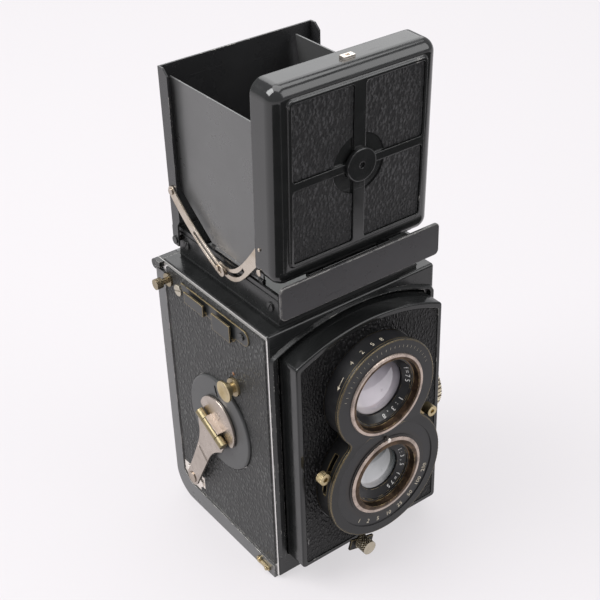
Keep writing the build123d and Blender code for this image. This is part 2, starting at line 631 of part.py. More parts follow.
RACK_PITCH_Z = KNOB_Z + PINION_R
with BuildPart() as focus_rack:
    pitch = pi * RACK_MODULE
    teeth = []
    for i in range(-2, 6):
        y = KNOB_Y + (i + 0.5) * pitch
        teeth += [(y - 0.31 * pitch * 0.8, RACK_PITCH_Z + 1.1 * RACK_MODULE),
                  (y - 0.11 * pitch * 0.8, RACK_PITCH_Z - 0.75 * RACK_MODULE),
                  (y + 0.11 * pitch * 0.8, RACK_PITCH_Z - 0.75 * RACK_MODULE),
                  (y + 0.31 * pitch * 0.8, RACK_PITCH_Z + 1.1 * RACK_MODULE)]
    section = [(PAN_FACE_Y + PAN_WALL, RACK_PITCH_Z + 1.1 * RACK_MODULE)] + teeth
    section += [(teeth[-1][0], 58.4), (PAN_FACE_Y + PAN_WALL, 58.4)]
    extrude(outline(focus_side(28.0), section), amount=2.8)
save(focus_rack, "focus_rack")

# ---- front standard ------------------------------------------------------
with BuildPart() as front_pan:
    extrude(arched(front(PAN_BACK_Y), PAN_HALF_W, PAN_BOTTOM_Z, PAN_CORNER_Z, PAN_APEX_Z, 1.6),
            amount=PAN_BACK_Y - PAN_BORDER_Y)
    rim = front_pan.faces().sort_by(Axis.Y)[0].edges()
    fillet(rim, 0.6)
    extrude(arched(front(PAN_BACK_Y), PAN_HALF_W - PAN_WALL, PAN_BOTTOM_Z + PAN_WALL, PAN_CORNER_Z - 0.8,
                   PAN_APEX_Z - PAN_WALL, 1.0), amount=PAN_BACK_Y - PAN_FACE_Y - PAN_WALL, mode=Mode.SUBTRACT)
    extrude(arched(front(PAN_FACE_Y), PAN_HALF_W - BORDER, PAN_BOTTOM_Z + BORDER, PAN_CORNER_Z - 1.6,
                   PAN_APEX_Z - BORDER, 1.2), amount=2, mode=Mode.SUBTRACT)
    with BuildSketch(front(PAN_FACE_Y + 2)):
        with Locations((0, VIEW_Z)):
            Circle(17.0)
        with Locations((0, TAKE_Z)):
            Circle(21.0)
    extrude(amount=4, mode=Mode.SUBTRACT)
save(front_pan, "front_pan")

with BuildPart() as front_leather:
    extrude(arched(front(PAN_FACE_Y), PAN_HALF_W - BORDER - 0.25, PAN_BOTTOM_Z + BORDER + 0.25,
                   PAN_CORNER_Z - 1.8, PAN_APEX_Z - BORDER - 0.25, 1.0), amount=0.5)
    extrude(lobes(front(PAN_FACE_Y), -0.4), amount=1, mode=Mode.SUBTRACT)
save(front_leather, "front_leather")

LEVER_SLOT_Y = (-50.4, -48.6)
with BuildPart() as lens_housing:
    extrude(lobes(front(PAN_FACE_Y), -0.8), amount=7.8)
    extrude(lobes(front(HOUSING_FACE_Y + HOUSING_PLATE)), amount=HOUSING_PLATE)
    fillet(lens_housing.faces().sort_by(Axis.Y)[0].outer_wire().edges(), 0.35)
    extrude(lobes(front(PAN_FACE_Y), -0.8 - HOUSING_WALL), amount=7.0, mode=Mode.SUBTRACT)
    with BuildSketch(front(HOUSING_FACE_Y + 3)):
        with Locations((0, VIEW_Z), (0, TAKE_Z)):
            Circle(RING_SEAT_R)
    extrude(amount=4, mode=Mode.SUBTRACT)
    # dial recess round the taking lens
    with BuildSketch(front(HOUSING_FACE_Y + 0.35)):
        with Locations((0, TAKE_Z)):
            Circle(22.6)
            Circle(TAKE_RING_R + 0.8, mode=Mode.SUBTRACT)
        with Locations((0, VIEW_Z)):
            Circle(RING_R + 1.2, mode=Mode.SUBTRACT)
    extrude(amount=1, mode=Mode.SUBTRACT)
    # slots in the drum for the three levers
    with BuildSketch(front(LEVER_SLOT_Y[1], TAKE_Z)):
        for centre_angle, half in ((158, 19), (36, 15), (254, 22)):
            with BuildLine():
                a0, a1 = radians(centre_angle - half), radians(centre_angle + half)
                am = radians(centre_angle)
                ThreePointArc((23 * cos(a0), 23 * sin(a0)), (23 * cos(am), 23 * sin(am)),
                              (23 * cos(a1), 23 * sin(a1)))
                Line((23 * cos(a1), 23 * sin(a1)), (27 * cos(a1), 27 * sin(a1)))
                ThreePointArc((27 * cos(a1), 27 * sin(a1)), (27 * cos(am), 27 * sin(am)),
                              (27 * cos(a0), 27 * sin(a0)))
                Line((27 * cos(a0), 27 * sin(a0)), (23 * cos(a0), 23 * sin(a0)))
            make_face()
    extrude(amount=LEVER_SLOT_Y[1] - LEVER_SLOT_Y[0], mode=Mode.SUBTRACT)
save(lens_housing, "lens_housing")


def turned(profile, height):
    """Face of a half section: (y, radius) pairs above an axis at the given height."""
    return outline(Plane.YZ, [(y, height + r) for y, r in profile])


with BuildPart() as viewing_ring:
    revolve(turned([(-54.8, 14.6), (-54.8, 16.5), (-54.3, RING_R), (-54.2, RING_R), (-54.2, RING_SEAT_R),
                    (-46.0, RING_SEAT_R), (-46.0, 12.0), (-48.2, 12.0), (-48.2, 11.2), (-49.4, 11.2),
                    (-51.8, 13.3), (-52.4, 13.3), (-52.6, 14.1)],
                   VIEW_Z), axis=AXIS_VIEW)
save(viewing_ring, "viewing_lens_ring")

with BuildPart() as viewing_glass:
    with BuildSketch(Plane.YZ):
        with BuildLine():
            Polyline((-46.2, VIEW_Z), (-46.2, VIEW_Z + 11.9), (-48.0, VIEW_Z + 11.9), (-48.0, VIEW_Z + 11.0),
                     (-48.6, VIEW_Z + 11.0))
            TangentArc((-50.9, VIEW_Z), (-48.6, VIEW_Z + 11.0), tangent=(0, 1))
            Line((-50.9, VIEW_Z), (-46.2, VIEW_Z))
        make_face()
    revolve(axis=AXIS_VIEW)
save(viewing_glass, "viewing_lens_glass")

with BuildPart() as taking_ring:
    revolve(turned([(-54.9, 13.4), (-54.9, 14.4), (-54.5, TAKE_RING_R), (-54.2, TAKE_RING_R),
                    (-54.2, RING_SEAT_R), (-46.0, RING_SEAT_R), (-46.0, 9.9), (-48.6, 9.9), (-48.6, 8.9),
                    (-50.2, 8.9), (-51.6, 12.1), (-52.3, 12.1), (-52.5, 13.0)], TAKE_Z), axis=AXIS_TAKE)
save(taking_ring, "taking_lens_ring")

with BuildPart() as taking_glass:
    with BuildSketch(Plane.YZ):
        with BuildLine():
            Polyline((-47.6, TAKE_Z), (-47.6, TAKE_Z + 9.8), (-48.4, TAKE_Z + 9.8), (-48.4, TAKE_Z + 8.7),
                     (-49.4, TAKE_Z + 8.7))
            TangentArc((-51.3, TAKE_Z), (-49.4, TAKE_Z + 8.7), tangent=(0, 1))
            Line((-51.3, TAKE_Z), (-47.6, TAKE_Z))
        make_face()
    revolve(axis=AXIS_TAKE)
save(taking_glass, "taking_lens_glass")

BLADE_R = 9.4
with BuildPart() as shutter_blades:
    for k, centre_angle in enumerate((90, 210, 330)):
        with BuildSketch(front(-45.6 + 0.32 * k, TAKE_Z)):
            with BuildLine():
                a0, a1 = radians(centre_angle - 66), radians(centre_angle + 66)
                am = radians(centre_angle)
                Line((0, 0), (14.5 * cos(a0), 14.5 * sin(a0)))
                ThreePointArc((14.5 * cos(a0), 14.5 * sin(a0)), (14.5 * cos(am), 14.5 * sin(am)),
                              (14.5 * cos(a1), 14.5 * sin(a1)))
                Line((14.5 * cos(a1), 14.5 * sin(a1)), (0, 0))
            make_face()
        extrude(amount=0.18)
save(shutter_blades, "shutter_blades")

with BuildPart() as shutter_case:
    with BuildSketch(front(-44.2, TAKE_Z)):
        Circle(20.4)
        Circle(BLADE_R, mode=Mode.SUBTRACT)
    extrude(amount=0.6)
    with BuildSketch(front(-44.8, TAKE_Z)):
        Circle(20.4)
        Circle(18.6, mode=Mode.SUBTRACT)
    extrude(amount=3.0)
    # tube of the rear lens cell
    with BuildSketch(front(-36.6, TAKE_Z)):
        Circle(11.0)
        Circle(BLADE_R, mode=Mode.SUBTRACT)
    extrude(amount=7.6)
save(shutter_case, "shutter_case")

with BuildPart() as index_pin:
    with BuildSketch(front(HOUSING_FACE_Y, 62.6)):
        Circle(0.9)
    extrude(amount=1.8)
    fillet(index_pin.faces().sort_by(Axis.Y)[0].edges(), 0.3)
save(index_pin, "index_pin")


def lever_arm(y, angle, inner, outer, half_w):
    """Sketch of a radial lever on the shutter, turning about the taking lens axis."""
    with BuildSketch(front(y, TAKE_Z)) as shape:
        Circle(inner + 1.2)
        Circle(inner, mode=Mode.SUBTRACT)
        with PolarLocations((inner + 0.4 + outer) / 2, 1, angle):
            Rectangle(outer - inner - 0.4, 2 * half_w)
        with PolarLocations(outer, 1, angle):
            Circle(half_w)
    return shape.sketch


LEVERS = (("aperture_lever", 158, 29.0, -49.5, -52.4, 2.3, 1.0),
          ("speed_lever", 36, 29.3, -48.9, -52.8, 2.2, 0.9),
          ("cocking_lever", 254, 32.4, -49.9, -55.6, 2.9, 0.0))
for name, angle, reach, arm_y, end_y, knob_r, hole_r in LEVERS:
    knob_at = front(arm_y, TAKE_Z + reach * sin(radians(angle)), reach * cos(radians(angle)))
    with BuildPart() as lever:
        extrude(lever_arm(arm_y, angle, 16.6, reach, 1.6), amount=0.36)
        if name == "cocking_lever":
            with BuildSketch(front(arm_y, TAKE_Z)):
                with PolarLocations(reach + 0.6, 1, angle):
                    Rectangle(4.4, 11.0)
            extrude(amount=1.0)
        with BuildSketch(knob_at):
            Circle(knob_r)
            with PolarLocations(knob_r, 20):
                Circle(0.14, mode=Mode.SUBTRACT)
        extrude(amount=arm_y - end_y)
        if hole_r:
            with BuildSketch(knob_at.offset(arm_y - end_y)):
                Circle(hole_r)
            extrude(amount=-1.2, mode=Mode.SUBTRACT)
    save(lever, name)

# ---- hood ----------------------------------------------------------------
COLLAR_MID_Y = (COLLAR_FRONT_Y + COLLAR_REAR_Y) / 2
COLLAR_LEN = COLLAR_REAR_Y - COLLAR_FRONT_Y
COLLAR_H = COLLAR_TOP_Z - DECK_Z
WALL_BARREL_R = 0.8
WALL_PIN_R = 0.35
WALL_BARREL = (-22.0, 4.6)          # start and end of each wall's own barrel along Y
LID_BARREL_R = 1.0
LID_PIN_R = 0.5


def wall_hinge(side):
    """Plane across a side wall's hinge line, normal +Y: local x is -X, local y is +Z."""
    z = WALL_L_HINGE_Z if side < 0 else WALL_R_HINGE_Z
    return Plane(origin=(side * WALL_X, 0, z), x_dir=(-1, 0, 0), z_dir=(0, 1, 0))


with BuildPart() as hood_collar:
    with Locations((0, COLLAR_MID_Y, DECK_Z + COLLAR_H / 2)):
        Box(2 * COLLAR_HALF_W, COLLAR_LEN, COLLAR_H)
        Box(2 * (COLLAR_HALF_W - COLLAR_WALL), COLLAR_LEN - 2 * COLLAR_WALL, COLLAR_H, mode=Mode.SUBTRACT)
    # two pressed ridges along the sides
    for z in (DECK_Z + 1.0, COLLAR_TOP_Z - 2.2):
        for side in (-1, 1):
            with Locations((side * COLLAR_HALF_W, COLLAR_MID_Y, z)):
                Box(0.6, COLLAR_LEN, 0.6)
    # fixed knuckles of the side walls
    for side in (-1, 1):
        hinge = wall_hinge(side)
        foot = hinge.origin.Z - COLLAR_TOP_Z
        for start in (WALL_BARREL[0] - 2.4, WALL_BARREL[1] + 0.2):
            with BuildSketch(hinge.offset(start)):
                Circle(WALL_BARREL_R)
                with Locations((0, -foot / 2 - 0.2)):
                    Rectangle(1.2, foot + 0.4)
                Circle(WALL_PIN_R, mode=Mode.SUBTRACT)
            extrude(amount=2.2)
    # fixed knuckles of the lid
    for start in (-18.0, 12.3):
        with BuildSketch(focus_side(start, LID_HINGE_Y, LID_HINGE_Z)):
            Circle(LID_BARREL_R)
            with Locations((0, -1.6)):
                Rectangle(1.2, 3.2)
            Circle(LID_PIN_R, mode=Mode.SUBTRACT)
        extrude(amount=5.7)
save(hood_collar, "hood_collar")

SCREWS = [(crank_side(-COLLAR_HALF_W, 23.6, 120.6), 1.7, 60),
          (crank_side(-COLLAR_HALF_W, -29.0, 120.6), 1.7, 60),
          (focus_side(COLLAR_HALF_W, 23.6, 120.6), 1.7, 60), (focus_side(COLLAR_HALF_W, -29.0, 120.6), 1.7, 60),
          (crank_side(SHOE_FACE_X, -21.8, 107.6), 1.5, 35), (crank_side(-BODY_HALF_W, 19.9, 105.9), 2.3, 20)]
with BuildPart() as case_screws:
    for seat, r, turn in SCREWS:
        with BuildSketch(seat):
            Circle(r)
        extrude(amount=0.6)
        with BuildSketch(seat.offset(0.3)):
            Rectangle(2 * r + 1, 0.5, rotation=turn)
        extrude(amount=1, mode=Mode.SUBTRACT)
save(case_screws, "case_screws")

PLATE_FRONT_Y = -40.9
with BuildPart() as nameplate:
    with BuildSketch(front(PLATE_FRONT_Y + 1.0)):
        with Locations((0, 128.1)):
            RectangleRounded(70, 12.9, 2.0)
    extrude(amount=1.0)
    chamfer(nameplate.faces().sort_by(Axis.Y)[0].edges(), 0.25)
    for x in (-22, 22):
        with Locations((x, (PLATE_FRONT_Y + 1 + COLLAR_FRONT_Y) / 2, 123.8)):
            Box(10, COLLAR_FRONT_Y - PLATE_FRONT_Y - 1, 3.0)
save(nameplate, "nameplate")

WALL_FRONT_Y = -24.5
WALL_OUTLINE = [(WALL_FRONT_Y, 0.4), (WALL_FRONT_Y, WALL_HEIGHT), (26.4, WALL_HEIGHT), (25.8, 15.4), (7.0, 1.2),
                (WALL_BARREL[1], 0.4)]
for name, side, lean in (("left_wall", -1, 0.0), ("right_wall", 1, WALL_R_LEAN)):
    hinge = wall_hinge(side)
    tilt = radians(lean)
    # upright plane through the hinge line, leaning inwards by the given angle
    sheet_plane = Plane(origin=hinge.origin, x_dir=(0, 1, 0), z_dir=(cos(tilt), 0, sin(tilt)))
    with BuildPart() as side_wall:
        extrude(outline(sheet_plane, WALL_OUTLINE), amount=WALL_SHEET / 2, both=True)
        with BuildSketch(hinge.offset(WALL_BARREL[0])):
            Circle(WALL_BARREL_R)
        extrude(amount=WALL_BARREL[1] - WALL_BARREL[0])
        for start, end in ((WALL_FRONT_Y - 1, WALL_BARREL[0]), (WALL_BARREL[1], 12.0)):
            with BuildSketch(hinge.offset(start)):
                Circle(WALL_BARREL_R + 0.3)
            extrude(amount=end - start, mode=Mode.SUBTRACT)
        with BuildSketch(hinge.offset(WALL_BARREL[0])):
            Circle(WALL_PIN_R + 0.05)
        extrude(amount=WALL_BARREL[1] - WALL_BARREL[0], mode=Mode.SUBTRACT)
    save(side_wall, name)

with BuildPart() as hinge_pins:
    for side in (-1, 1):
        with BuildSketch(wall_hinge(side).offset(WALL_BARREL[0] - 2.4)):
            Circle(WALL_PIN_R)
        extrude(amount=WALL_BARREL[1] - WALL_BARREL[0] + 4.8)
    for half, y, z, r in ((18.0, LID_HINGE_Y, LID_HINGE_Z, LID_PIN_R),
                          (KNUCKLE_OUT, BACK_HINGE_Y, BACK_HINGE_Z, BACK_PIN_R)):
        with BuildSketch(focus_side(-half, y, z)):
            Circle(r)
        extrude(amount=2 * half)
save(hinge_pins, "hinge_pins")

REAR_Y = 29.4
FLANGE_X = REAR_HALF_W - 0.35
with BuildPart() as rear_wall:
    with Locations((0, REAR_Y - 0.35, (COLLAR_TOP_Z + REAR_TOP_Z) / 2)):
        Box(2 * REAR_HALF_W, 0.7, REAR_TOP_Z - COLLAR_TOP_Z)
    for side in (-1, 1):
        with BuildSketch(focus_side(side * FLANGE_X)):
            with BuildLine():
                Polyline((REAR_Y, REAR_TOP_Z), (REAR_Y - 3.0, REAR_TOP_Z), (REAR_Y - 5.6, REAR_TOP_Z - 2.4),
                         (REAR_Y - 5.2, 131.0), (REAR_Y - 3.6, 128.6), (REAR_Y - 3.0, 119.6),
                         (REAR_Y + 0.6, 119.6), (REAR_Y + 0.6, 127.0), (REAR_Y, 127.8), close=True)
            make_face()
            with Locations((REAR_Y - 1.2, 121.8)):
                Circle(1.0, mode=Mode.SUBTRACT)
        extrude(amount=0.35, both=True)
    fillet(rear_wall.edges().filter_by(Axis.Z).group_by(Axis.Y)[-1], 0.3)
save(rear_wall, "rear_wall")

LINK_TOP = (26.6, 142.9)
LINK_X = 33.2                # inner face of the bowed links
with BuildPart() as hood_rivets:
    for side_plane, sign in ((crank_side, -1), (focus_side, 1)):
        with BuildSketch(side_plane(sign * COLLAR_HALF_W, REAR_Y - 1.2, 121.8)):
            Circle(1.0)
        extrude(amount=2.4)
        with BuildSketch(side_plane(sign * REAR_HALF_W, REAR_Y - 1.2, 121.8)):
            Circle(1.5)
        extrude(amount=0.5)
        with BuildSketch(side_plane(sign * REAR_HALF_W, *LINK_TOP)):
            Circle(0.8)
        extrude(amount=1.1)
        with BuildSketch(side_plane(sign * (LINK_X + 0.7), *LINK_TOP)):
            Circle(1.3)
        extrude(amount=0.45)
save(hood_rivets, "hood_rivets")

link_bow = ThreePointArc(LINK_TOP, (12.8, 131.5), (-2.9, 123.1))
link_slot = ThreePointArc(link_bow @ 0.5, link_bow @ 0.745, link_bow @ 0.992)
LINK_END = (link_bow @ 0.945).X, (link_bow @ 0.945).Y
with BuildPart() as strut_links:
    for sign in (-1, 1):
        with BuildSketch(focus_side(LINK_X if sign > 0 else -LINK_X - 0.6)):
            SlotArc(link_bow, 4.0)
            SlotArc(link_slot, 1.6, mode=Mode.SUBTRACT)
            with Locations(LINK_TOP):
                Circle(0.85, mode=Mode.SUBTRACT)
        extrude(amount=0.6)
save(strut_links, "strut_links")


def lid_front(y):
    """Plane in the leaning lid, facing forward; local y is the height above the lid's hinge."""
    a, dy = radians(LID_LEAN), y - LID_HINGE_Y
    return Plane(origin=(0, LID_HINGE_Y + dy * cos(a), LID_HINGE_Z + dy * sin(a)), x_dir=(1, 0, 0),
                 z_dir=(0, -cos(a), -sin(a)))


def lid_side(x):
    """Plane across the leaning lid, normal +X; local x is depth towards +Y, local y is height."""
    a = radians(LID_LEAN)
    return Plane(origin=(x, LID_HINGE_Y, LID_HINGE_Z), x_dir=(0, cos(a), sin(a)), z_dir=(1, 0, 0))


LID_H0, LID_H1 = LID_BOTTOM_Z - LID_HINGE_Z, LID_TOP_Z - LID_HINGE_Z
LID_MID_H = (LID_H0 + LID_H1) / 2
RIB_TOP = LID_FACE_Y - 0.9
FIELD_X = (2.7, 26.9)
FIELD_H = ((10.7, 37.4), (41.0, 67.7))
BOSS_H = 39.2
MAGNIFIER_H = 66.6
MAGNIFIER_Y = -31.4
with BuildPart() as lid_pan:
    with BuildSketch(lid_front(LID_REAR_Y)):
        with Locations((0, LID_MID_H)):
            RectangleRounded(2 * LID_HALF_W, LID_H1 - LID_H0, 5.0)
    extrude(amount=LID_REAR_Y - LID_FACE_Y)
    fillet(lid_pan.faces().sort_by(Axis.Y)[0].edges(), 4.6)
    offset(amount=-LID_SHEET, openings=lid_pan.faces().sort_by(Axis.Y)[-1])
    # pressed frame and cross ribs round the four leather fields
    with BuildSketch(lid_front(LID_FACE_Y + 0.1)):
        with Locations((0, BOSS_H)):
            RectangleRounded(56.8, 60.2, 2.0)
        for x0, x1 in (FIELD_X, (-FIELD_X[1], -FIELD_X[0])):
            for h0, h1 in FIELD_H:
                with Locations(((x0 + x1) / 2, (h0 + h1) / 2)):
                    RectangleRounded(x1 - x0 + 0.6, h1 - h0 + 0.6, 1.2, mode=Mode.SUBTRACT)
    extrude(amount=1.0)
    ribs = lid_pan.faces().sort_by(Axis.Y)[0].edges()
    chamfer(ribs, 0.35)
    # ears for the magnifier and barrel of the lid hinge
    for x in (-17.0, 17.0):
        with BuildSketch(lid_side(x)):
            with Locations(((LID_FACE_Y - LID_HINGE_Y + MAGNIFIER_Y - LID_HINGE_Y + 1.4) / 2, MAGNIFIER_H)):
                Rectangle(MAGNIFIER_Y - LID_FACE_Y + 0.6, 2.8)
            with Locations((MAGNIFIER_Y - LID_HINGE_Y, MAGNIFIER_H)):
                Circle(0.4, mode=Mode.SUBTRACT)
        extrude(amount=0.6, both=True)
    with BuildSketch(lid_side(-12.0)):
        Circle(LID_BARREL_R)
        with Locations((0, LID_H0 / 2 + 0.2)):
            Rectangle(1.2, LID_H0 + 0.4)
        Circle(LID_PIN_R + 0.05, mode=Mode.SUBTRACT)
    extrude(amount=24.0)
save(lid_pan, "lid_pan")

with BuildPart() as lid_leathers:
    with BuildSketch(lid_front(LID_FACE_Y)):
        for x0, x1 in (FIELD_X, (-FIELD_X[1], -FIELD_X[0])):
            for h0, h1 in FIELD_H:
                with Locations(((x0 + x1) / 2, (h0 + h1) / 2)):
                    RectangleRounded(x1 - x0, h1 - h0, 1.0)
        with Locations((0, BOSS_H)):
            Circle(10.8, mode=Mode.SUBTRACT)
    extrude(amount=0.5)
save(lid_leathers, "lid_leathers")

with BuildPart() as lid_boss:
    with BuildSketch(lid_front(RIB_TOP)):
        with Locations((0, BOSS_H)):
            Circle(6.0)
    extrude(amount=1.5)
    fillet(lid_boss.faces().sort_by(Axis.Y)[0].edges(), 0.4)
    with BuildSketch(lid_front(RIB_TOP - 2)):
        with Locations((0, BOSS_H)):
            Circle(1.1)
    extrude(amount=-1.6, mode=Mode.SUBTRACT)
save(lid_boss, "lid_boss")

with BuildPart() as lid_latch:
    with BuildSketch(lid_front(-29.4)):
        with Locations((0, LID_H1 + 0.55)):
            Rectangle(4.6, 1.1)
    extrude(amount=2.6)
    fillet(lid_latch.edges().filter_by(GeomType.LINE).group_by(Axis.Z)[-1], 0.3)
    # notch for the fingernail
    with Locations((0, -33.1, 204.4)):
        Box(1.7, 1.3, 0.8, mode=Mode.SUBTRACT)
save(lid_latch, "lid_latch")

# Curved slotted arms of the struts, riveted inside the lid's side flanges
ARM_X = 32.0
ARM_UPPER = [(-0.6, 125.6), (-6.6, 125.5), (-15.0, 131.4), (-22.6, 140.4), (-25.8, 144.4)]
ARM_LOWER = [(-25.8, 136.2), (-23.3, 133.8), (-16.2, 126.2), (-9.6, 121.6), (-3.0, 121.5)]
with BuildPart() as lid_arms:
    for sign in (-1, 1):
        with BuildSketch(focus_side(ARM_X if sign > 0 else -ARM_X - 0.6)):
            with BuildLine():
                Spline(*ARM_UPPER)
                Polyline(ARM_UPPER[-1], (-29.0, 144.4), (-29.0, 136.2), ARM_LOWER[0])
                Spline(*ARM_LOWER)
                ThreePointArc(ARM_LOWER[-1], (0.5, 123.3), ARM_UPPER[0])
            make_face()
            with BuildLine():
                Spline((-4.6, 122.8), (-10.4, 123.8), (-16.4, 129.0))
                Line((-16.4, 129.0), (-15.4, 130.0))
                Spline((-15.4, 130.0), (-10.0, 125.3), (-4.6, 124.2))
                Line((-4.6, 124.2), (-4.6, 122.8))
            make_face(mode=Mode.SUBTRACT)
        extrude(amount=0.6)
        # pin that rides in the slot of the bowed link
        side_plane = focus_side if sign > 0 else crank_side
        with BuildSketch(side_plane(sign * ARM_X, *LINK_END)):
            Circle(0.6)
        extrude(amount=2.2)
        with BuildSketch(side_plane(sign * (LINK_X + 0.75), *LINK_END)):
            Circle(1.05)
        extrude(amount=0.45)
        # rivet heads on the outside of the lid's flange
        for y, z, r in ((-27.2, 134.3, 1.2), (-28.0, 143.6, 0.6)):
            with BuildSketch(side_plane(sign * LID_HALF_W, y, z)):
                Circle(r)
            extrude(amount=0.4)
save(lid_arms, "strut_arms")

MAG_R = 11.2
with BuildPart() as magnifier_frame:
    with BuildSketch(lid_front(MAGNIFIER_Y + 0.5)):
        with Locations((0, MAGNIFIER_H - 15.6)):
            RectangleRounded(31.0, 28.6, 3.0)
        with Locations((0, MAGNIFIER_H - 1.6)):
            Rectangle(24, 3.2)
        with Locations((0, MAGNIFIER_H - 16.0)):
            Circle(MAG_R - 0.7, mode=Mode.SUBTRACT)
    extrude(amount=1.0)
    with BuildSketch(lid_front(MAGNIFIER_Y + 1.6)):
        with Locations((0, MAGNIFIER_H - 16.0)):
            Circle(MAG_R + 0.7)
            Circle(MAG_R, mode=Mode.SUBTRACT)
    extrude(amount=1.2)
    with BuildSketch(lid_side(-16.2)):
        with Locations((MAGNIFIER_Y - LID_HINGE_Y, MAGNIFIER_H)):
            Circle(0.36)
    extrude(amount=32.4)
    with BuildSketch(lid_side(-12.0)):
        with Locations((MAGNIFIER_Y - LID_HINGE_Y, MAGNIFIER_H)):
            Circle(0.8)
    extrude(amount=24.0)
    with BuildSketch(lid_side(-17.6)):
        with Locations((MAGNIFIER_Y - LID_HINGE_Y, MAGNIFIER_H)):
            Circle(0.36)
    extrude(amount=35.2)
save(magnifier_frame, "magnifier_frame")

with BuildPart() as magnifier_glass:
    with BuildSketch(lid_front(MAGNIFIER_Y + 2.6)):
        with Locations((0, MAGNIFIER_H - 16.0)):
            Circle(MAG_R - 0.05)
    extrude(amount=2.1)
    fillet(magnifier_glass.edges(), 0.5)
save(magnifier_glass, "magnifier_glass")

# ---- back ----------------------------------------------------------------
def back_profile(inset):
    """Rounded L of the back door, inset from its outer surface, closed well inside the body."""
    r = 11.0 - inset
    inner_y = -40.0 if inset else -33.9
    with BuildSketch(Plane.YZ) as shape:
        with BuildLine():
            Polyline((24.0, inset), (inner_y, inset), (inner_y, 5.8 + 20 * inset),
                     (24.6 - 10 * inset, 8.6 + 20 * inset), (FLANGE_REAR_Y - 12 * inset, 12.6 + 20 * inset),
                     (FLANGE_REAR_Y - 12 * inset, 109.2 + 8 * inset), (BACK_REAR_Y - inset, 109.2 + 8 * inset),
                     (BACK_REAR_Y - inset, 11.0))
            CenterArc((24.0, 11.0), r, 270, 90)
        make_face()
    return shape.sketch


with BuildPart() as back_door:
    extrude(back_profile(0.0), amount=BACK_FLANGE_OUT, both=True)
    extrude(back_profile(BACK_SHEET), amount=BACK_FLANGE_IN, both=True, mode=Mode.SUBTRACT)
    # barrel of the hinge, rolled from the plate's top edge
    with BuildSketch(focus_side(-KNUCKLE_IN + 0.3)):
        with Locations((BACK_HINGE_Y, BACK_HINGE_Z)):
            Circle(BACK_HINGE_R)
        with Locations((BACK_REAR_Y - 0.6, 110.2)):
            Rectangle(1.2, 2.8)
        with Locations((BACK_HINGE_Y, BACK_HINGE_Z)):
            Circle(BACK_PIN_R + 0.05, mode=Mode.SUBTRACT)
    extrude(amount=2 * KNUCKLE_IN - 0.6)
    # opening round the tripod bush
    with BuildSketch(Plane.XY):
        with Locations((0, BUSH_Y - 2.5)):
            SlotOverall(2 * BUSH_R + 6.6, 2 * BUSH_R + 1.4, rotation=90)
    extrude(amount=3, both=True, mode=Mode.SUBTRACT)
save(back_door, "back_door")

with BuildPart() as back_leather:
    with BuildSketch(Plane(origin=(0, BACK_REAR_Y, 0), x_dir=(-1, 0, 0), z_dir=(0, 1, 0))):
        with Locations((0, 60.2)):
            RectangleRounded(73.0, 93.0, 1.5)
    extrude(amount=0.7)
save(back_leather, "back_leather")

with BuildPart() as pressure_plate:
    with Locations((0, FILM_Y + 1.0, TAKE_Z)):
        Box(60, 1.0, 58)
    fillet(pressure_plate.edges().filter_by(Axis.Y), 2.0)
    # bowed leaf springs behind the plate
    spring_y, foot_y = FILM_Y + 1.5, BACK_REAR_Y - BACK_SHEET
    for z in (TAKE_Z - 16, TAKE_Z + 16):
        with BuildSketch(Plane.XY.offset(z)):
            with BuildLine():
                ThreePointArc((-22, foot_y), (0, spring_y + 0.35), (22, foot_y))
                Line((22, foot_y), (22, foot_y - 0.4))
                ThreePointArc((22, foot_y - 0.4), (0, spring_y - 0.05), (-22, foot_y - 0.4))
                Line((-22, foot_y - 0.4), (-22, foot_y))
            make_face()
        extrude(amount=3.0, both=True)
save(pressure_plate, "pressure_plate")

LATCH_Y, LATCH_Z = -24.8, 3.0
with BuildPart() as back_latch:
    with BuildSketch(crank_side(-BACK_FLANGE_OUT - 0.1)):
        with Locations((-LATCH_Y, LATCH_Z)):
            Circle(1.6)
        with Locations((-LATCH_Y + 3.0, LATCH_Z - 0.4)):
            RectangleRounded(7.2, 1.9, 0.7)
    extrude(amount=0.8)
    with BuildSketch(crank_side(-BACK_FLANGE_OUT - 0.9, LATCH_Y, LATCH_Z)):
        Circle(0.9)
    extrude(amount=0.4)
    with BuildSketch(crank_side(-BACK_FLANGE_OUT - 0.9, LATCH_Y - 5.2, LATCH_Z - 0.4)):
        Circle(0.8)
    extrude(amount=0.7)
save(back_latch, "back_latch")
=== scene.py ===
import json
from math import cos, radians, sin

import bmesh
import bpy
from mathutils import Matrix, Vector


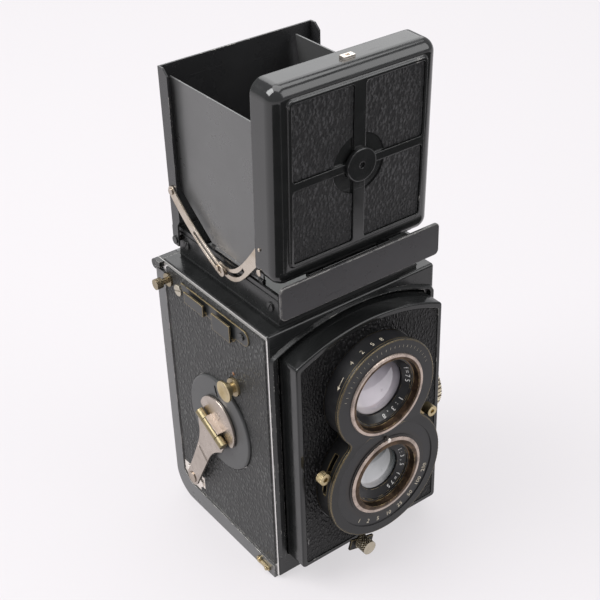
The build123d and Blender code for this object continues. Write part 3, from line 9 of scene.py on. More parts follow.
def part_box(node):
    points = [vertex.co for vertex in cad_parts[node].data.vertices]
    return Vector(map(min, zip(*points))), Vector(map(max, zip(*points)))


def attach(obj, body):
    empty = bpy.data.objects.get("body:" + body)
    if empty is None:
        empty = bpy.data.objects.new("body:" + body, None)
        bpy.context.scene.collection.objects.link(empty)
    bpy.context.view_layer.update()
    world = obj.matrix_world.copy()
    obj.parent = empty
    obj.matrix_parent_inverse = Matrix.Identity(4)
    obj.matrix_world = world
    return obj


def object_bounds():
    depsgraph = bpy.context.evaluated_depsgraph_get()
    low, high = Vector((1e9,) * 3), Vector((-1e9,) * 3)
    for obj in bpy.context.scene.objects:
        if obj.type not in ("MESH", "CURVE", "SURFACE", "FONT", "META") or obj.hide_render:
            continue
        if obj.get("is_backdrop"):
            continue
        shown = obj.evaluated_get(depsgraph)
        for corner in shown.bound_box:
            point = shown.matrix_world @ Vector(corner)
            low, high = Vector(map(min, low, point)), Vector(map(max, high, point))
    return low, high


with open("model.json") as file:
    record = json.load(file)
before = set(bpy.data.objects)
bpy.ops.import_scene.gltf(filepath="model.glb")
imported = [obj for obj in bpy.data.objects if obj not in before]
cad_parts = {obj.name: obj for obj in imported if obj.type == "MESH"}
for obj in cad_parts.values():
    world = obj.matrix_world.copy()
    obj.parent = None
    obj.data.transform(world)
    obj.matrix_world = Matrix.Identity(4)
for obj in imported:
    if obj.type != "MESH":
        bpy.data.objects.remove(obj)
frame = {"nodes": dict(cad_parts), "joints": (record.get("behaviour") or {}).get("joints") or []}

CAD_LOW, CAD_HIGH = [Vector(v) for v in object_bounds()]
CAD_MIDDLE = (CAD_LOW + CAD_HIGH) / 2
NODES = frame["nodes"]

# lens mounts: radii of the inner edge of the bright lip and of the outer edge of the black cone
VIEW_LIP_R, VIEW_CONE_R = 0.0154, 0.0137
TAKE_LIP_R, TAKE_CONE_R = 0.0150, 0.0125

# painted marks: radius and height of the figures;
# on the cones also the depth behind the mount's face and the lean
SPEED_R, SPEED_SIZE = 0.0205, 0.0026
TICK_R, TICK_SIZE, TICK_STEP = 0.0196, 0.0011, 6
VIEW_FIGURE_R, VIEW_FIGURE_SIZE, VIEW_FIGURE_DEPTH, VIEW_LEAN = 0.01245, 0.0025, 0.00390, radians(48.8)
TAKE_FIGURE_R, TAKE_FIGURE_SIZE, TAKE_FIGURE_DEPTH, TAKE_LEAN = 0.01065, 0.0022, 0.00384, radians(23.6)
APERTURE_SIZE, APERTURE_DEPTH, ARROW_DEPTH = 0.0026, 0.0042, 0.0036
DRUM_WALL_STEP = 0.0008
PAINT = 0.00002

# the camera that takes the picture
CAMERA_PLACE = (-0.23034, -0.32071, 0.35471)
AZIMUTH, ELEVATION, ROLL = radians(-35.976), radians(33.293), radians(-1.924)
LENS, SENSOR = 74.64, 36.0

FLOOR_HALF = 3.0
CARD_LIFT = 0.002


# ---------------------------------------------------------------- materials
class Mat:
    """A principled material with short helpers for its procedural nodes."""

    def __init__(self, name, **sockets):
        self.mat = bpy.data.materials.new(name)
        self.mat.use_nodes = True
        self.tree = self.mat.node_tree
        self.tree.nodes.clear()
        out = self.tree.nodes.new("ShaderNodeOutputMaterial")
        self.bsdf = self.tree.nodes.new("ShaderNodeBsdfPrincipled")
        self.tree.links.new(self.bsdf.outputs[0], out.inputs[0])
        for key, value in sockets.items():
            self.bsdf.inputs[key.replace("_", " ")].default_value = value
        self.coord = self.tree.nodes.new("ShaderNodeTexCoord").outputs["Object"]

    def put(self, socket, value):
        """Links an output to a socket, or sets its number."""
        if isinstance(value, bpy.types.NodeSocket):
            self.tree.links.new(value, socket)
        elif value is not None:
            socket.default_value = value

    def node(self, kind, settings=None, **inputs):
        n = self.tree.nodes.new("ShaderNode" + kind)
        for key, value in (settings or {}).items():
            setattr(n, key, value)
        for key, value in inputs.items():
            self.put(n.inputs[key.replace("_", " ")], value)
        return n

    def stretched(self, scale, turn=(0, 0, 0)):
        return self.node("Mapping", Vector=self.coord, Scale=scale, Rotation=turn).outputs[0]

    def noise(self, scale, detail=3.0, rough=0.55, vector=None):
        n = self.node("TexNoise", Vector=vector or self.coord, Scale=scale, Detail=detail, Roughness=rough)
        return n.outputs["Fac"]

    def cells(self, scale, vector=None):
        return self.node("TexVoronoi", Vector=vector or self.coord, Scale=scale).outputs["Distance"]

    def ramp(self, fac, low, high, a=0.0, b=1.0):
        """Maps low..high of fac smoothly to a..b."""
        n = self.node("MapRange", {"interpolation_type": "SMOOTHSTEP"}, Value=fac)
        for key, value in (("From Min", low), ("From Max", high), ("To Min", a), ("To Max", b)):
            n.inputs[key].default_value = value
        return n.outputs[0]

    def math(self, op, a, b=None, clamp=False):
        n = self.node("Math", {"operation": op, "use_clamp": clamp})
        self.put(n.inputs[0], a)
        self.put(n.inputs[1], b)
        return n.outputs[0]

    def mix(self, fac, a, b):
        n = self.node("Mix", {"data_type": "RGBA"})
        self.put(n.inputs[0], fac)
        for socket, value in ((n.inputs[6], a), (n.inputs[7], b)):
            if isinstance(value, tuple):
                value = (*value, 1.0)
            self.put(socket, value)
        return n.outputs[2]

    def axis(self, index):
        return self.node("SeparateXYZ", Vector=self.coord).outputs[index]

    def distance(self, place, axis=None):
        """Distance from a point, or from the line through it along one of the axes."""
        away = self.node("VectorMath", {"operation": "SUBTRACT"})
        self.put(away.inputs[0], self.coord)
        away.inputs[1].default_value = place
        if axis is not None:
            flat = self.node("VectorMath", {"operation": "MULTIPLY"})
            self.put(flat.inputs[0], away.outputs[0])
            flat.inputs[1].default_value = [0.0 if k == axis else 1.0 for k in range(3)]
            away = flat
        length = self.node("VectorMath", {"operation": "LENGTH"})
        self.put(length.inputs[0], away.outputs[0])
        return length.outputs["Value"]

    def round_normal(self, radius):
        return self.node("Bevel", {"samples": 6}, Radius=radius).outputs[0]

    def edges(self, radius, low=0.004, high=0.10):
        """1 where the surface turns sharply within radius, 0 on flats."""
        near = self.round_normal(radius)
        normal = self.node("NewGeometry").outputs["Normal"]
        dot = self.node("VectorMath", {"operation": "DOT_PRODUCT"})
        self.put(dot.inputs[0], near)
        self.put(dot.inputs[1], normal)
        return self.ramp(self.math("SUBTRACT", 1.0, dot.outputs["Value"]), low, high)

    def bump(self, height, distance, strength=1.0, rounding=0.0002):
        n = self.node("Bump", Height=height, Distance=distance, Strength=strength)
        if rounding:
            self.put(n.inputs["Normal"], self.round_normal(rounding))
        return n.outputs[0]

    def finish(self, color=None, rough=None, normal=None, metal=None):
        """Links what is given to the shader and returns the material."""
        sockets = {"Base Color": color, "Roughness": rough, "Normal": normal, "Metallic": metal}
        for key, value in sockets.items():
            self.put(self.bsdf.inputs[key], value)
        return self.mat


BRASS = (0.46, 0.35, 0.17)
BARE = (0.62, 0.60, 0.56)


def bare_side_and_highlight(m, limit, brass_from, brass_at):
    """Masks of the bare side faces, beyond limit from the middle, and of the brass guide round brass_at.
    Above the deck edge the bright strip is kept at 0.3 as a painted soft highlight.
    """
    soft, guide_r, deck_z = 0.0001, 0.0040, 0.1120
    away = m.math("ABSOLUTE", m.axis(0))
    side = m.math("MULTIPLY", m.ramp(away, limit, limit + soft), m.ramp(away, brass_from, brass_from - soft))
    side = m.math("MULTIPLY", side, m.ramp(m.noise(160, 4.0, 0.65), 0.26, 0.38))
    # painted highlight: above deck_z the bare strip fades to 0.3 and stands in for a soft highlight along the
    # deck edge
    side = m.math("MULTIPLY", side, m.ramp(m.axis(2), deck_z, deck_z + 0.0008, 1.0, 0.3))
    guide = m.ramp(m.distance(brass_at, 0), guide_r + 0.0002, guide_r)
    return side, m.math("MULTIPLY", m.ramp(away, brass_from - soft, brass_from), guide)


def enamel(name, base=(0.010, 0.0105, 0.0105), gloss=0.16, wear=0.5, under=BARE, radius=0.00035, dust=0.5,
           side_line=None, ior=1.5):
    """Stove enamel: dusty and finely scratched, rubbed through to metal along its edges."""
    m = Mat(name, IOR=ior)
    blotch = m.noise(90, 5.0, 0.6)
    grain = m.noise(2600, 2.0)
    hair = m.noise(900, 2.0, 0.5, m.stretched((0.06, 1.0, 1.0), (0.4, 0.7, 0.9)))
    specks = m.ramp(m.cells(420), 0.10, 0.04)
    rubbed = m.ramp(m.noise(230, 4.0, 0.7), 0.62 - 0.3 * wear, 0.72 - 0.25 * wear)
    edge = m.math("MULTIPLY", m.edges(radius), rubbed, clamp=True)
    if side_line:
        side, guide = bare_side_and_highlight(m, *side_line)
        edge = m.math("MAXIMUM", edge, m.math("MAXIMUM", side, guide))
    color = m.mix(m.ramp(blotch, 0.35, 0.8, 0.0, 0.5 * dust), base, tuple(c * 2.6 + 0.004 for c in base))
    color = m.mix(m.math("MULTIPLY", specks, m.ramp(m.noise(55, 2.0), 0.5, 0.7, 0.0, 0.35 * dust)), color,
                  (0.20, 0.19, 0.17))
    color = m.mix(edge, color, m.mix(m.noise(500), under, tuple(c * 0.62 for c in under)))
    if side_line:
        # near-white bare metal on the side faces; above the deck edge the same colour is a weaker painted
        # highlight
        color = m.mix(side, color, (0.84, 0.82, 0.80))
        color = m.mix(guide, color, (0.34, 0.27, 0.16))
    rough = m.math("ADD", m.ramp(blotch, 0.3, 0.8, gloss, gloss + 0.14), m.ramp(hair, 0.62, 0.75, 0.0, 0.10))
    rough = m.math("ADD", rough, m.math("MULTIPLY", edge, 0.12), clamp=True)
    wave = m.math("ADD", m.math("MULTIPLY", m.noise(60, 2.0), 0.7), m.math("MULTIPLY", grain, 0.06))
    wave = m.math("SUBTRACT", wave, m.math("MULTIPLY", edge, 0.12))
    return m.finish(color, rough, m.bump(wave, 0.00010, 0.35, radius * 0.7), m.math("MULTIPLY", edge, 0.7))


def leather(name, base, scale, lean, specks=0.0, scratch=None, gloss=0.42, ior=1.5):
    """Pebbled leather: small uneven grains with creases, a few bright specks and scuffs."""
    m = Mat(name, IOR=ior)
    warp = m.node("TexNoise", Vector=m.coord, Scale=420, Detail=2.0).outputs["Color"]
    lifted = m.node("VectorMath", {"operation": "SCALE"}, Vector=warp)
    lifted.inputs["Scale"].default_value = 0.0010
    joined = m.node("VectorMath", {"operation": "ADD"})
    m.put(joined.inputs[0], m.stretched((1.0, 1.0, 0.62), lean))
    m.put(joined.inputs[1], lifted.outputs[0])
    pebbles = m.ramp(m.cells(scale, joined.outputs[0]), 0.12, 0.62, 1.0, 0.0)
    fine = m.cells(scale * 2.3, joined.outputs[0])
    height = m.math("ADD", pebbles, m.math("MULTIPLY", fine, 0.35))
    height = m.math("ADD", height, m.math("MULTIPLY", m.noise(scale * 0.28, 3.0), 0.8))
    worn = m.math("MULTIPLY", pebbles, m.ramp(m.noise(70, 4.0), 0.4, 0.72))
    color = m.mix(m.ramp(pebbles, 0.1, 0.9), tuple(c * 0.45 for c in base), base)
    color = m.mix(m.math("MULTIPLY", worn, 0.6), color, tuple(c * 2.6 for c in base))
    if specks:
        hits = m.math("MULTIPLY", m.ramp(m.cells(75), 0.075, 0.045), m.ramp(m.noise(30, 1.0), 0.50, 0.54))
        color = m.mix(m.math("MULTIPLY", hits, specks), color, (0.45, 0.17, 0.05))
    if scratch:
        place, size = scratch
        lines = m.ramp(m.noise(500, 3.0, 0.6, m.stretched((1.0, 1.0, 0.16), (0, 0.5, 0))), 0.66, 0.72)
        spots = m.math("MULTIPLY", lines, m.ramp(m.distance(place), size, size * 0.3))
        color = m.mix(spots, color, (0.5, 0.49, 0.47))
    rough = m.ramp(pebbles, 0.2, 1.0, gloss, gloss - 0.14)
    rough = m.math("ADD", rough, m.math("MULTIPLY", m.noise(1500), 0.12))
    return m.finish(color, rough, m.bump(height, 0.00040, 1.0, 0))


def metal(name, base, rough=(0.16, 0.34), stain=(0.55, 0.48, 0.36), stained=0.35):
    """Plated or solid metal with smudges, tarnish spots and fine scratches."""
    m = Mat(name)
    smudge = m.noise(140, 5.0, 0.62)
    spots = m.ramp(m.noise(620, 4.0, 0.7), 0.60, 0.74)
    hair = m.noise(1500, 2.0, 0.5, m.stretched((1.0, 0.05, 1.0), (0.5, 0.0, 0.3)))
    color = m.mix(m.ramp(smudge, 0.35, 0.75, 0.0, stained), base, tuple(b * s for b, s in zip(base, stain)))
    color = m.mix(m.math("MULTIPLY", spots, 0.45 * stained), color, (0.10, 0.075, 0.045))
    roughness = m.math("ADD", m.ramp(smudge, 0.3, 0.75, *rough), m.ramp(hair, 0.6, 0.8, 0.0, 0.12))
    height = m.math("ADD", m.math("MULTIPLY", hair, 0.3), m.math("MULTIPLY", smudge, 0.8))
    return m.finish(color, roughness, m.bump(height, 0.00004, 0.6, 0.00022), 1.0)


def knurled(name, base, centre, axis, pitch, depth=0.00022):
    """Metal with a straight knurl about an axis: fine teeth in the bump, dirt in the grooves."""
    m = Mat(name)
    i, j = [k for k in range(3) if k != axis]
    split = m.node("SeparateXYZ", Vector=m.coord).outputs
    a = m.math("SUBTRACT", split[i], centre[i])
    b = m.math("SUBTRACT", split[j], centre[j])
    turn = m.math("ARCTAN2", b, a)
    wave = m.math("SINE", m.math("MULTIPLY", turn, float(pitch)))
    side = m.node("NewGeometry").outputs["Normal"]
    across = m.math("ABSOLUTE", m.node("SeparateXYZ", Vector=side).outputs[axis])
    on_rim = m.ramp(across, 0.7, 0.3)
    groove = m.math("MULTIPLY", m.ramp(wave, -1.0, 0.4, 1.0, 0.0), on_rim)
    smudge = m.noise(300, 4.0, 0.6)
    color = m.mix(groove, m.mix(smudge, base, tuple(0.72 * c for c in base)), (0.07, 0.05, 0.03))
    height = m.math("SUBTRACT", m.math("MULTIPLY", smudge, 0.15), groove)
    return m.finish(color, m.ramp(smudge, 0.3, 0.7, 0.24, 0.42), m.bump(height, depth, 0.9, 0.00015), 1.0)


def glass(name, centre, radius, pale, deep, tint):
    """Old lens seen from outside: milky inner reflections painted into its colour, fading to dark towards one
    side, with a painted bright crescent and a dark rim.
    """
    m = Mat(name, IOR=1.62, Coat_Weight=1.0, Coat_Roughness=0.01, Coat_IOR=1.6, Roughness=0.05)
    split = m.node("SeparateXYZ", Vector=m.coord).outputs
    u = m.math("DIVIDE", m.math("SUBTRACT", split[0], centre[0]), radius)
    v = m.math("DIVIDE", m.math("SUBTRACT", split[2], centre[2]), radius)
    r = m.math("SQRT", m.math("ADD", m.math("MULTIPLY", u, u), m.math("MULTIPLY", v, v)))
    lean = m.math("ADD", m.math("MULTIPLY", u, 0.55), m.math("MULTIPLY", v, 0.35))
    # painted reflection: the glass is pale towards one side and deep towards the other, fixed on the lens
    painted_reflection = m.ramp(m.math("ADD", lean, m.math("MULTIPLY", m.noise(90, 2.0), 0.5)), -0.35, 0.95, 1.0, 0.0)
    rim = m.ramp(r, 0.86, 0.99)
    color = m.mix(painted_reflection, deep, pale)
    # painted highlight: a bright crescent in the tint colour near the edge on the pale side
    painted_crescent_glint = m.math("MULTIPLY", m.ramp(r, 0.66, 0.86), m.ramp(lean, 0.10, -0.35))
    color = m.mix(m.math("MULTIPLY", painted_crescent_glint, 0.8), color, tint)
    color = m.mix(rim, color, (0.01, 0.01, 0.012))
    dustiness = m.ramp(m.noise(900, 3.0, 0.7), 0.60, 0.75, 0.03, 0.22)
    return m.finish(color, dustiness)


def assign(material, *names):
    for name in names:
        data = NODES[name].data
        data.materials.clear()
        data.materials.append(material)


def centre_of(name):
    low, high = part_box(name)
    return (low + high) / 2


# the side faces of the shell are bare metal round the leather, weakened into a painted highlight above the
# deck edge; the counter button's guide is brass
side_x = abs(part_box("crank_side_leather")[1].x)
shell_side = (side_x - 0.0002, side_x + 0.0002, centre_of("counter_button"))
assign(enamel("shell_enamel", wear=0.7, side_line=shell_side), "body_shell")
assign(enamel("deck_enamel", gloss=0.2, wear=0.25), "front_bead", "chamber_block")
assign(enamel("collar_enamel", gloss=0.2, wear=-0.6), "hood_collar")
assign(enamel("pan_enamel", gloss=0.08, wear=0.2, dust=0.35), "front_pan")
assign(enamel("lid_enamel", gloss=0.09, wear=0.0, dust=0.3, radius=0.0006, ior=1.62), "lid_pan", "lid_boss")
assign(enamel("wall_enamel", (0.076, 0.076, 0.076), 0.26, 0.2, radius=0.0003, dust=0.05, ior=1.62),
       "left_wall", "right_wall")
assign(enamel("rear_enamel", (0.024, 0.024, 0.025), 0.24, 0.3, radius=0.0003, dust=0.1), "rear_wall")
assign(enamel("door_enamel", (0.072, 0.072, 0.073), 0.26, 0.5, ior=1.62), "back_door")
assign(enamel("boss_enamel", (0.038, 0.039, 0.039), 0.3, 0.25), "crank_boss")
assign(enamel("shoe_enamel", (0.016, 0.017, 0.017), 0.3, 0.95, BRASS, 0.0005), "side_shoe")
assign(enamel("plate_enamel", (0.025, 0.024, 0.026), 0.24, 0.85, BARE, 0.00035), "nameplate")
assign(enamel("shutter_enamel", (0.012, 0.012, 0.012), 0.4, 0.2, BRASS), "shutter_case",
       "takeup_spool", "supply_spool")

side_grain = leather("side_leather", (0.034, 0.035, 0.034), 820, (0.35, 0.0, 0.0), specks=0.9)
assign(side_grain, "crank_side_leather", "focus_side_leather")
VIEW_AXIS, TAKE_AXIS = centre_of("viewing_lens_ring"), centre_of("taking_lens_ring")


def drum_enamel():
    """Dark grey satin enamel, brassed edges, a lighter band round the taking lens and a black one outside."""
    m = Mat("housing_enamel", IOR=1.42)
    blotch, grain = m.noise(110, 5.0, 0.6), m.noise(2200, 2.0)
    around = m.distance(TAKE_AXIS, 1)
    waist = (VIEW_AXIS.z + TAKE_AXIS.z) / 2
    above = m.ramp(m.axis(2), waist + 0.0016, waist + 0.0026)
    outer = m.math("MULTIPLY", m.ramp(around, 0.0222, 0.0225), m.math("SUBTRACT", 1.0, above))
    inner = m.ramp(around, 0.0192, 0.0186)
    color = m.mix(m.ramp(blotch, 0.3, 0.75), (0.012, 0.012, 0.0135), (0.022, 0.0215, 0.022))
    color = m.mix(m.math("MULTIPLY", outer, 0.75), color, (0.008, 0.008, 0.008))
    color = m.mix(m.math("MULTIPLY", inner, 0.65), color, (0.020, 0.016, 0.014))
    edge = m.math("MULTIPLY", m.edges(0.0006, 0.003, 0.05), m.ramp(m.noise(170, 4.0, 0.7), 0.34, 0.48))
    edge = m.math("MULTIPLY", edge, m.math("MAXIMUM", above, m.ramp(around, 0.0246, 0.0252)))
    color = m.mix(edge, color, m.mix(m.noise(500), BRASS, tuple(c * 0.5 for c in BRASS)))
    rough = m.math("ADD", m.ramp(blotch, 0.3, 0.8, 0.26, 0.40), m.math("MULTIPLY", grain, 0.08))
    return m.finish(color, rough, m.bump(grain, 0.00003, 0.5, 0.0003), m.math("MULTIPLY", edge, 0.8))


def ring_metal(name, axis, front, cone, bright=(0.52, 0.43, 0.375)):
    """Lens mount: nickel lip, browned inner step, black cone."""
    m = Mat(name)
    around = m.distance(axis, 1)
    smudge = m.noise(260, 5.0, 0.65)
    black = m.ramp(around, cone + 0.00015, cone)
    brown = m.ramp(around, front + 0.0002, front)
    nickel_tone = m.mix(m.ramp(smudge, 0.42, 0.7), bright, tuple(0.62 * c for c in bright))
    brown_tone = m.mix(m.ramp(smudge, 0.35, 0.65), (0.13, 0.085, 0.055), (0.05, 0.035, 0.025))
    worn = m.math("MULTIPLY", m.edges(0.0002), m.ramp(m.noise(420, 3.0), 0.45, 0.6))
    color = m.mix(brown, nickel_tone, m.mix(worn, brown_tone, BRASS))
    color = m.mix(black, color, m.mix(worn, (0.006, 0.006, 0.007), BRASS))
    rough = m.math("ADD", m.ramp(smudge, 0.3, 0.7, 0.2, 0.36), m.math("MULTIPLY", brown, 0.08))
    return m.finish(color, rough, m.bump(smudge, 0.00003, 0.5, 0.0002), m.math("SUBTRACT", 1.0, black))


assign(drum_enamel(), "lens_housing")
assign(ring_metal("viewing_ring_metal", VIEW_AXIS, VIEW_LIP_R, VIEW_CONE_R), "viewing_lens_ring")
assign(ring_metal("taking_ring_metal", TAKE_AXIS, TAKE_LIP_R, TAKE_CONE_R), "taking_lens_ring")

low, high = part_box("front_leather")
assign(leather("front_leather", (0.007, 0.0068, 0.0073), 900, (0.0, 0.35, 0.0), ior=1.36,
               scratch=((low.x + 0.006, low.y, low.z + 0.013), 0.010)), "front_leather")
assign(leather("lid_leather", (0.016, 0.016, 0.017), 760, (0.0, 0.25, 0.0), gloss=0.38, ior=1.43),
       "lid_leathers")
assign(leather("back_leather", (0.013, 0.013, 0.0135), 850, (0.0, 0.3, 0.0)), "back_leather")

nickel = metal("nickel", (0.80, 0.75, 0.68))
pale_nickel = metal("pale_nickel", (0.86, 0.80, 0.74), (0.20, 0.36), stained=0.2)
old_nickel = metal("old_nickel", (0.56, 0.50, 0.43), (0.24, 0.40), (0.62, 0.52, 0.38), 0.45)
dull_brass = metal("dull_brass", (0.52, 0.43, 0.26), (0.28, 0.46), (0.6, 0.52, 0.4), 0.6)
bright_steel = metal("bright_steel", (0.62, 0.61, 0.59), (0.22, 0.4), stained=0.25)
dark_steel = metal("dark_steel", (0.16, 0.155, 0.15), (0.32, 0.5), stained=0.5)
assign(pale_nickel, "crank_clip_plate", "index_pin", "lid_latch")
assign(old_nickel, "strut_links", "strut_arms")
assign(nickel, "tripod_bush", "focus_scale")
assign(dull_brass, "crank_hinge_pin", "aperture_lever", "speed_lever", "back_latch", "takeup_gear",
       "counter_button")
assign(dark_steel, "crank_gear", "focus_rack", "shutter_blades")


def two_tone(name, near, inside, outside, gloss_in, gloss_out, all_metal=True):
    """Metal that changes colour where the mask in near, a material and a 0 to 1 socket of it, is 1."""
    m, mask = near
    smudge = m.noise(230, 5.0, 0.62)
    dirt = m.ramp(m.noise(700, 4.0, 0.7), 0.60, 0.76)
    color = m.mix(mask, m.mix(smudge, outside, tuple(0.66 * c for c in outside)),
                  m.mix(smudge, inside, tuple(0.6 * c for c in inside)))
    color = m.mix(m.math("MULTIPLY", dirt, 0.4), color, (0.08, 0.06, 0.04))
    rough = m.ramp(m.math("ADD", smudge, m.math("MULTIPLY", mask, 0.1)), 0.3, 0.75, gloss_in, gloss_out)
    m.mat.name = name
    return m.finish(color, rough, m.bump(smudge, 0.00004, 0.6, 0.0002), 1.0 if all_metal else mask)


def along_line(m, place, direction, radius):
    """1 within radius of the line through place, in the material's own frame."""
    away = m.node("VectorMath", {"operation": "SUBTRACT"})
    m.put(away.inputs[0], m.coord)
    away.inputs[1].default_value = place
    cross = m.node("VectorMath", {"operation": "CROSS_PRODUCT"})
    m.put(cross.inputs[0], away.outputs[0])
    cross.inputs[1].default_value = direction
    length = m.node("VectorMath", {"operation": "LENGTH"})
    m.put(length.inputs[0], cross.outputs[0])
    return m.ramp(length.outputs["Value"], radius + 0.00004, radius)


HINGE_BRASS_R = 0.00200
SCREW_FRONT_Y, SCREW_DECK_Z = 0.0155, 0.1120
fold = next(j for j in frame["joints"] if j["name"] == "crank_fold")
for node in ("crank_arm", "crank_base"):
    m = Mat(node)
    barrel = along_line(m, fold["pos_m"], fold["axis"], HINGE_BRASS_R)
    assign(two_tone(node + "_metal", (m, barrel), (0.36, 0.30, 0.18), (0.54, 0.47, 0.415), 0.24, 0.42), node)
m = Mat("rivets")
lid_rivet = m.ramp(m.axis(2), 0.130, 0.132)
assign(two_tone("rivet_metal", (m, lid_rivet), (0.60, 0.53, 0.46), (0.016, 0.016, 0.016), 0.26, 0.42, False),
       "hood_rivets")
m = Mat("handle")
rivet_head = m.ramp(m.axis(0), -0.0411, -0.0412)
handle_black = (0.018, 0.017, 0.016)
assign(two_tone("handle_metal", (m, rivet_head), (0.50, 0.42, 0.35), handle_black, 0.26, 0.42, False),
       "crank_handle")
m = Mat("screws")
side_screw = m.math("MULTIPLY", m.ramp(m.axis(1), SCREW_FRONT_Y, SCREW_FRONT_Y + 0.0005),
                    m.ramp(m.axis(2), SCREW_DECK_Z + 0.0010, SCREW_DECK_Z))
assign(two_tone("screw_metal", (m, side_screw), (0.62, 0.57, 0.47), (0.020, 0.020, 0.020), 0.22, 0.42, False),
       "case_screws")
assign(enamel("pin_enamel", (0.010, 0.010, 0.010), 0.35, 0.1), "hinge_pins")


def cocking_metal():
    """Cocking lever: a brass grip with a diamond knurl on a black plate with brassed edges."""
    angle, reach, grip_r = radians(254), 0.0324, 0.0029
    teeth, pitch = 20.0, 5200.0
    grip = (reach * cos(angle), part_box("cocking_lever")[0].y, TAKE_AXIS.z + reach * sin(angle))
    m = Mat("cocking_lever_metal")
    on_grip = m.ramp(m.distance(grip, 1), grip_r + 0.00025, grip_r + 0.00015)
    split = m.node("SeparateXYZ", Vector=m.coord).outputs
    turn = m.math("ARCTAN2", m.math("SUBTRACT", split[2], grip[2]), m.math("SUBTRACT", split[0], grip[0]))
    round_grip, along_grip = m.math("MULTIPLY", turn, teeth), m.math("MULTIPLY", split[1], pitch)
    left_hand = m.math("SINE", m.math("ADD", round_grip, along_grip))
    right_hand = m.math("SINE", m.math("SUBTRACT", round_grip, along_grip))
    normal = m.node("NewGeometry").outputs["Normal"]
    facing = m.math("ABSOLUTE", m.node("SeparateXYZ", Vector=normal).outputs[1])
    diamonds = m.math("MULTIPLY", m.math("MINIMUM", left_hand, right_hand), m.ramp(facing, 0.6, 0.3))
    smudge = m.noise(300, 4.0)
    grip_tone = m.mix(m.ramp(diamonds, 0.2, -0.7), m.mix(smudge, (0.62, 0.57, 0.47), (0.45, 0.40, 0.30)),
                      (0.10, 0.075, 0.04))
    worn = m.math("MULTIPLY", m.edges(0.0003), m.ramp(smudge, 0.35, 0.5))
    plate_tone = m.mix(worn, (0.012, 0.012, 0.012), (0.42, 0.33, 0.17))
    return m.finish(m.mix(on_grip, plate_tone, grip_tone), m.ramp(smudge, 0.3, 0.7, 0.24, 0.40),
                    m.bump(diamonds, 0.00016, 0.8, 0.00015), m.math("MAXIMUM", on_grip, 0.6))


assign(cocking_metal(), "cocking_lever")
assign(bright_steel, "film_roller", "pressure_plate", "magnifier_frame")

for name, teeth, axis in (("focus_knob", 46, 0), ("takeup_spool_knob", 26, 0), ("supply_spool_knob", 26, 0)):
    assign(knurled(name + "_metal", (0.62, 0.55, 0.42), centre_of(name), axis, teeth), name)
stud_low, stud_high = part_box("strap_studs")
assign(knurled("stud_metal", (0.36, 0.30, 0.20), (stud_low + stud_high) / 2, 0, 22), "strap_studs")

# pale and deep are the two ends of each lens's painted reflection, and tint is the colour of its painted
# crescent highlight
for name, pale, deep, tint in (
        ("viewing_lens_glass", (0.70, 0.65, 0.70), (0.13, 0.12, 0.14), (0.90, 0.84, 0.84)),
        ("taking_lens_glass", (0.56, 0.57, 0.58), (0.06, 0.07, 0.07), (0.85, 0.85, 0.86))):
    low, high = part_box(name)
    assign(glass(name + "_look", (low + high) / 2, (high.z - low.z) / 2, pale, deep, tint), name)


def ground_glass():
    m = Mat("ground_glass", IOR=1.5, Roughness=0.35)
    frost = m.noise(3000, 3.0, 0.7)
    color = m.mix(frost, (0.30, 0.31, 0.31), (0.42, 0.43, 0.42))
    return m.finish(color, m.ramp(frost, 0.3, 0.7, 0.3, 0.5), m.bump(frost, 0.00003, 0.6, 0))


def silvered():
    m = Mat("silvered_mirror", Metallic=1.0)
    haze = m.noise(200, 4.0)
    color = m.mix(m.ramp(haze, 0.6, 0.8), (0.86, 0.87, 0.88), (0.7, 0.7, 0.68))
    return m.finish(color, m.ramp(haze, 0.4, 0.8, 0.03, 0.12))


def clear_glass():
    m = Mat("magnifier_look", IOR=1.5, Transmission_Weight=1.0, Roughness=0.02)
    film = m.noise(700, 3.0, 0.7)
    return m.finish(m.mix(film, (0.93, 0.96, 0.95), (0.86, 0.90, 0.89)), m.ramp(film, 0.6, 0.8, 0.01, 0.12))


assign(ground_glass(), "focusing_screen")
assign(silvered(), "reflex_mirror")
assign(clear_glass(), "magnifier_glass")


# ---------------------------------------------------------------- painted marks
def paint(name, scale, clean, worn, low, high, gloss):
    """Matt paint, worn thin in patches."""
    m = Mat(name, IOR=1.45)
    patch = m.noise(scale, 4.0, 0.7)
    return m.finish(m.mix(m.ramp(patch, low, high), clean, worn), m.ramp(patch, 0.3, 0.7, *gloss))


CREAM = paint("cream_paint", 900, (0.60, 0.54, 0.43), (0.26, 0.22, 0.16), 0.45, 0.66, (0.45, 0.65))
WHITE = paint("white_paint", 1200, (0.88, 0.87, 0.84), (0.50, 0.49, 0.46), 0.45, 0.7, (0.4, 0.6))


def marks(name, body, material, items, depth=0.00003):
    """Painted figures joined into one mesh. items holds (text, size, matrix)."""
    joined = bmesh.new()
    for text, size, place in items:
        curve = bpy.data.curves.new(name + "_glyph", "FONT")
        curve.body, curve.size, curve.extrude = text, size, depth
        curve.align_x, curve.align_y = "CENTER", "CENTER"
        curve.resolution_u = 3
        holder = bpy.data.objects.new(name + "_glyph", curve)
        bpy.context.scene.collection.objects.link(holder)
        bpy.context.view_layer.update()
        mesh = bpy.data.meshes.new_from_object(holder)
        mesh.transform(place)
        joined.from_mesh(mesh)
        bpy.data.objects.remove(holder)
        bpy.data.meshes.remove(mesh)
    data = bpy.data.meshes.new(name)
    joined.to_mesh(data)
    joined.free()
    data.materials.append(material)
    obj = bpy.data.objects.new(name, data)
    bpy.context.scene.collection.objects.link(obj)
    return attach(obj, body)


def frame_at(place, across, upward):
    """Matrix that lays text at place, reading along across with its top towards upward."""
    x, y = Vector(across).normalized(), Vector(upward).normalized()
    return Matrix.Translation(place) @ Matrix((x, y, x.cross(y))).transposed().to_4x4()


